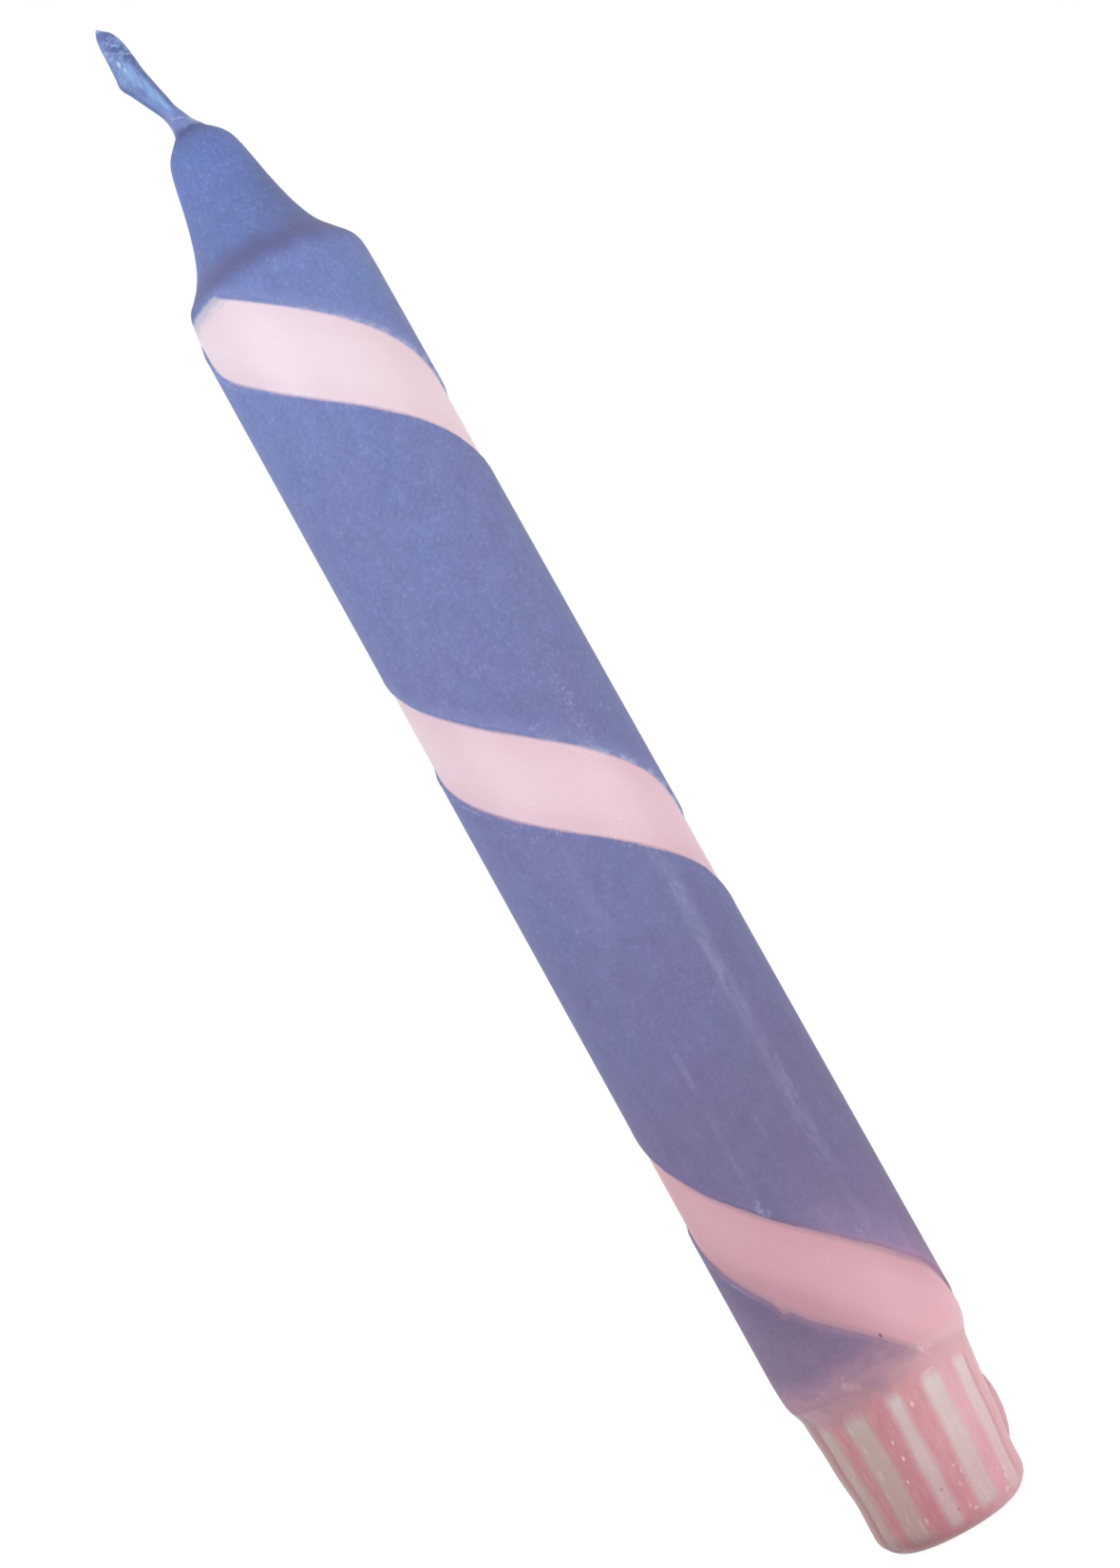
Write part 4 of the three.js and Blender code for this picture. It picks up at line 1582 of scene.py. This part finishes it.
def build_run():
    bm = bmesh.new()
    bmesh.ops.create_uvsphere(bm, u_segments=40, v_segments=32, radius=1)
    slope = foot_taper / (foot_height - base_edge)
    how_far_out = bm.verts.layers.float.new("run")
    for vert in bm.verts:
        x, y, z = vert.co
        vert[how_far_out] = max(x, 0.1)
        height = run_height + z * run_length / 2
        narrow = 1 - run_narrowing * z
        outward = run_proud * max(x, 0) ** run_bulge + run_inside * min(x, 0)
        along = y * run_width / 2 * narrow * (1 - run_edge_thinning * max(x, 0))
        wavy = run_waviness * noise.noise(Vector((x, y * 2, z * 5)))
        seat = foot_bottom_radius + slope * (height - base_edge) - run_sunk
        turns = run_turns + along / (2 * math.pi * seat)
        vert.co = on_candle(turns, seat + outward + wavy, height)
        vert.co.x += foot_shift(height)
    bmesh.ops.recalc_face_normals(bm, faces=bm.faces)
    return bm


finish_piece("run_of_pink_wax", build_run(), pink_material, "foot_wax_run")

# %% [markdown]
# The wick itself is three plied cotton yarns. Almost all of it is buried in wax, and
# only the ends of a few fibres show at the very tip. Each yarn is a small ring that is
# extruded up along a helix, and near the top the helix bends over with the leaf.

# %% The plied wick
yarn_count = 3
yarn_radius = 0.36
yarn_orbit = 0.37
ply_length = 6.0
yarn_sides = 8
yarn_step = 0.9
thinnest_yarn = 0.12
tip_taper = 2.6
tip_spare = 0.3
bend_length = 2.4
wick_length = wick_high.z - wick_low.z
print(f"{yarn_count} yarns turn {wick_length / ply_length:.0f} times round each other")


def wick_axis(height):
    """Where the wick's middle is, sideways, at a height: straight, then inside the leaf."""
    over = height - crown_top
    if over < 0:
        return 0.0
    left, right, _ = through(LEAF, over)
    return (left + right) / 2 * smooth(over, 0, bend_length)


def add_yarn(bm, number):
    low = wick_low.z
    steps = math.ceil(wick_length / yarn_step)
    ring = bmesh.ops.create_circle(bm, cap_ends=True, segments=yarn_sides, radius=1)["verts"]
    top = ring[0].link_faces[0]
    rings = [list(ring)]
    for _ in range(steps):
        top = bmesh.ops.extrude_discrete_faces(bm, faces=[top])["faces"][0]
        rings.append(list(top.verts))
    for index, verts in enumerate(rings):
        height = low + wick_length * index / steps
        taper = smooth(height, wick_high.z + tip_spare, wick_high.z - tip_taper)
        phase = 2 * math.pi * (number / yarn_count + (height - low) / ply_length)
        orbit = yarn_orbit * taper
        centre = Vector((
            wick_axis(height) + orbit * math.cos(phase), orbit * math.sin(phase), height))
        radius = yarn_radius * (thinnest_yarn + (1 - thinnest_yarn) * taper)
        for corner, vert in enumerate(verts):
            angle = 2 * math.pi * corner / yarn_sides
            vert.co = centre + Vector((radius * math.cos(angle), radius * math.sin(angle), 0))


def build_wick():
    bm = bmesh.new()
    for number in range(yarn_count):
        add_yarn(bm, number)
    open_ends = [edge for edge in bm.edges if edge.is_boundary]
    bmesh.ops.holes_fill(bm, edges=open_ends, sides=yarn_sides)
    bmesh.ops.recalc_face_normals(bm, faces=bm.faces)
    return bm


# %% Cotton
def cotton():
    yarn = Finish("waxed cotton")
    fibres = yarn.grain(0.12, stretch=6, seed=2)
    body = fibres.ramp(0.3, 0.7).blend(colour(196, 204, 214), colour(240, 244, 244))
    return yarn.shade({"Base Color": body, "Roughness": 0.8}, fibres, bump_depth=0.03)


finish_piece("plied_wick", build_wick(), cotton(), "wick")

# %% [markdown]
# The candle stands on a plain white floor in soft light, as for a catalogue. What the
# camera sees of the floor and of the sky is close to pure white, but the light that
# they throw on the candle is set by itself, so that the wax keeps its colours. A wide
# lamp on the left and a weaker, warmer one on the right model the round body.

# %% What the camera sees of the studio
WHITE = (1, 1, 1, 1)
floor_glow = 1.15
floor_glow_share = 0.8


def seen_directly(start):
    """1 for what the camera sees, straight or through a reflection."""
    path = [start.node("LightPath", output=f"Is {kind} Ray")
            for kind in ("Camera", "Glossy", "Transmission")]
    return path[0].most(path[1]).most(path[2])


def floor_paint():
    paint = Finish("white floor")
    speckle = paint.grain(6, detail=4)
    body = speckle.blend(colour(226, 226, 226), colour(232, 232, 232))
    matt = paint.start.node("BsdfDiffuse", None, {"Color": body})
    glow = paint.start.node("Emission", None, {"Color": WHITE, "Strength": floor_glow})
    share = seen_directly(paint.start) * floor_glow_share
    mixed = paint.start.node("MixShader", None, {0: share, 1: matt, 2: glow})
    paint.start.node("OutputMaterial", None, {"Surface": mixed})
    return paint.material


print(f"the camera sees {floor_glow_share:.0%} of the floor as white glow")

# %% Floor
floor_half = 3.0
bm = bmesh.new()
bmesh.ops.create_grid(bm, x_segments=8, y_segments=8, size=floor_half)
mesh_object("floor", bm, floor_paint())
print(f"floor {2 * floor_half} m wide")

# %% World
sky_light = 0.58
world = bpy.data.worlds.new("studio")
world.use_nodes = True
world.node_tree.nodes.clear()
bpy.context.scene.world = world
sky = Wire(world.node_tree)
seen = seen_directly(sky)
dim = sky.node("Background", None, {"Color": WHITE, "Strength": sky_light})
white = sky.node("Background", None, {"Color": WHITE, "Strength": 1.0})
both = sky.node("MixShader", None, {0: seen, 1: dim, 2: white})
sky.node("OutputWorld", None, {"Surface": both})
print(f"the sky lights the candle with {sky_light} of white")


# %% Lamps
def add_lamp(name, place, aim, size, power, tint):
    data = bpy.data.lights.new(name, "AREA")
    data.size = size
    data.energy = power
    data.color = tint
    lamp = put_in_scene(name, data)
    lamp.location = place
    lamp.rotation_euler = (Vector(aim) - Vector(place)).to_track_quat("-Z", "Y").to_euler()


add_lamp("left_window", (-0.56, -0.5, 0.4), (0, 0, 0.12), 0.6, 2.1, (0.95, 0.97, 1.0))
add_lamp("right_fill", (0.36, -0.25, 0.03), (0, 0, 0.03), 0.34, 0.78, (1.0, 0.95, 0.92))
bpy.context.scene.view_settings.view_transform = "Standard"
print("lamps:", [item.name for item in bpy.data.lights])
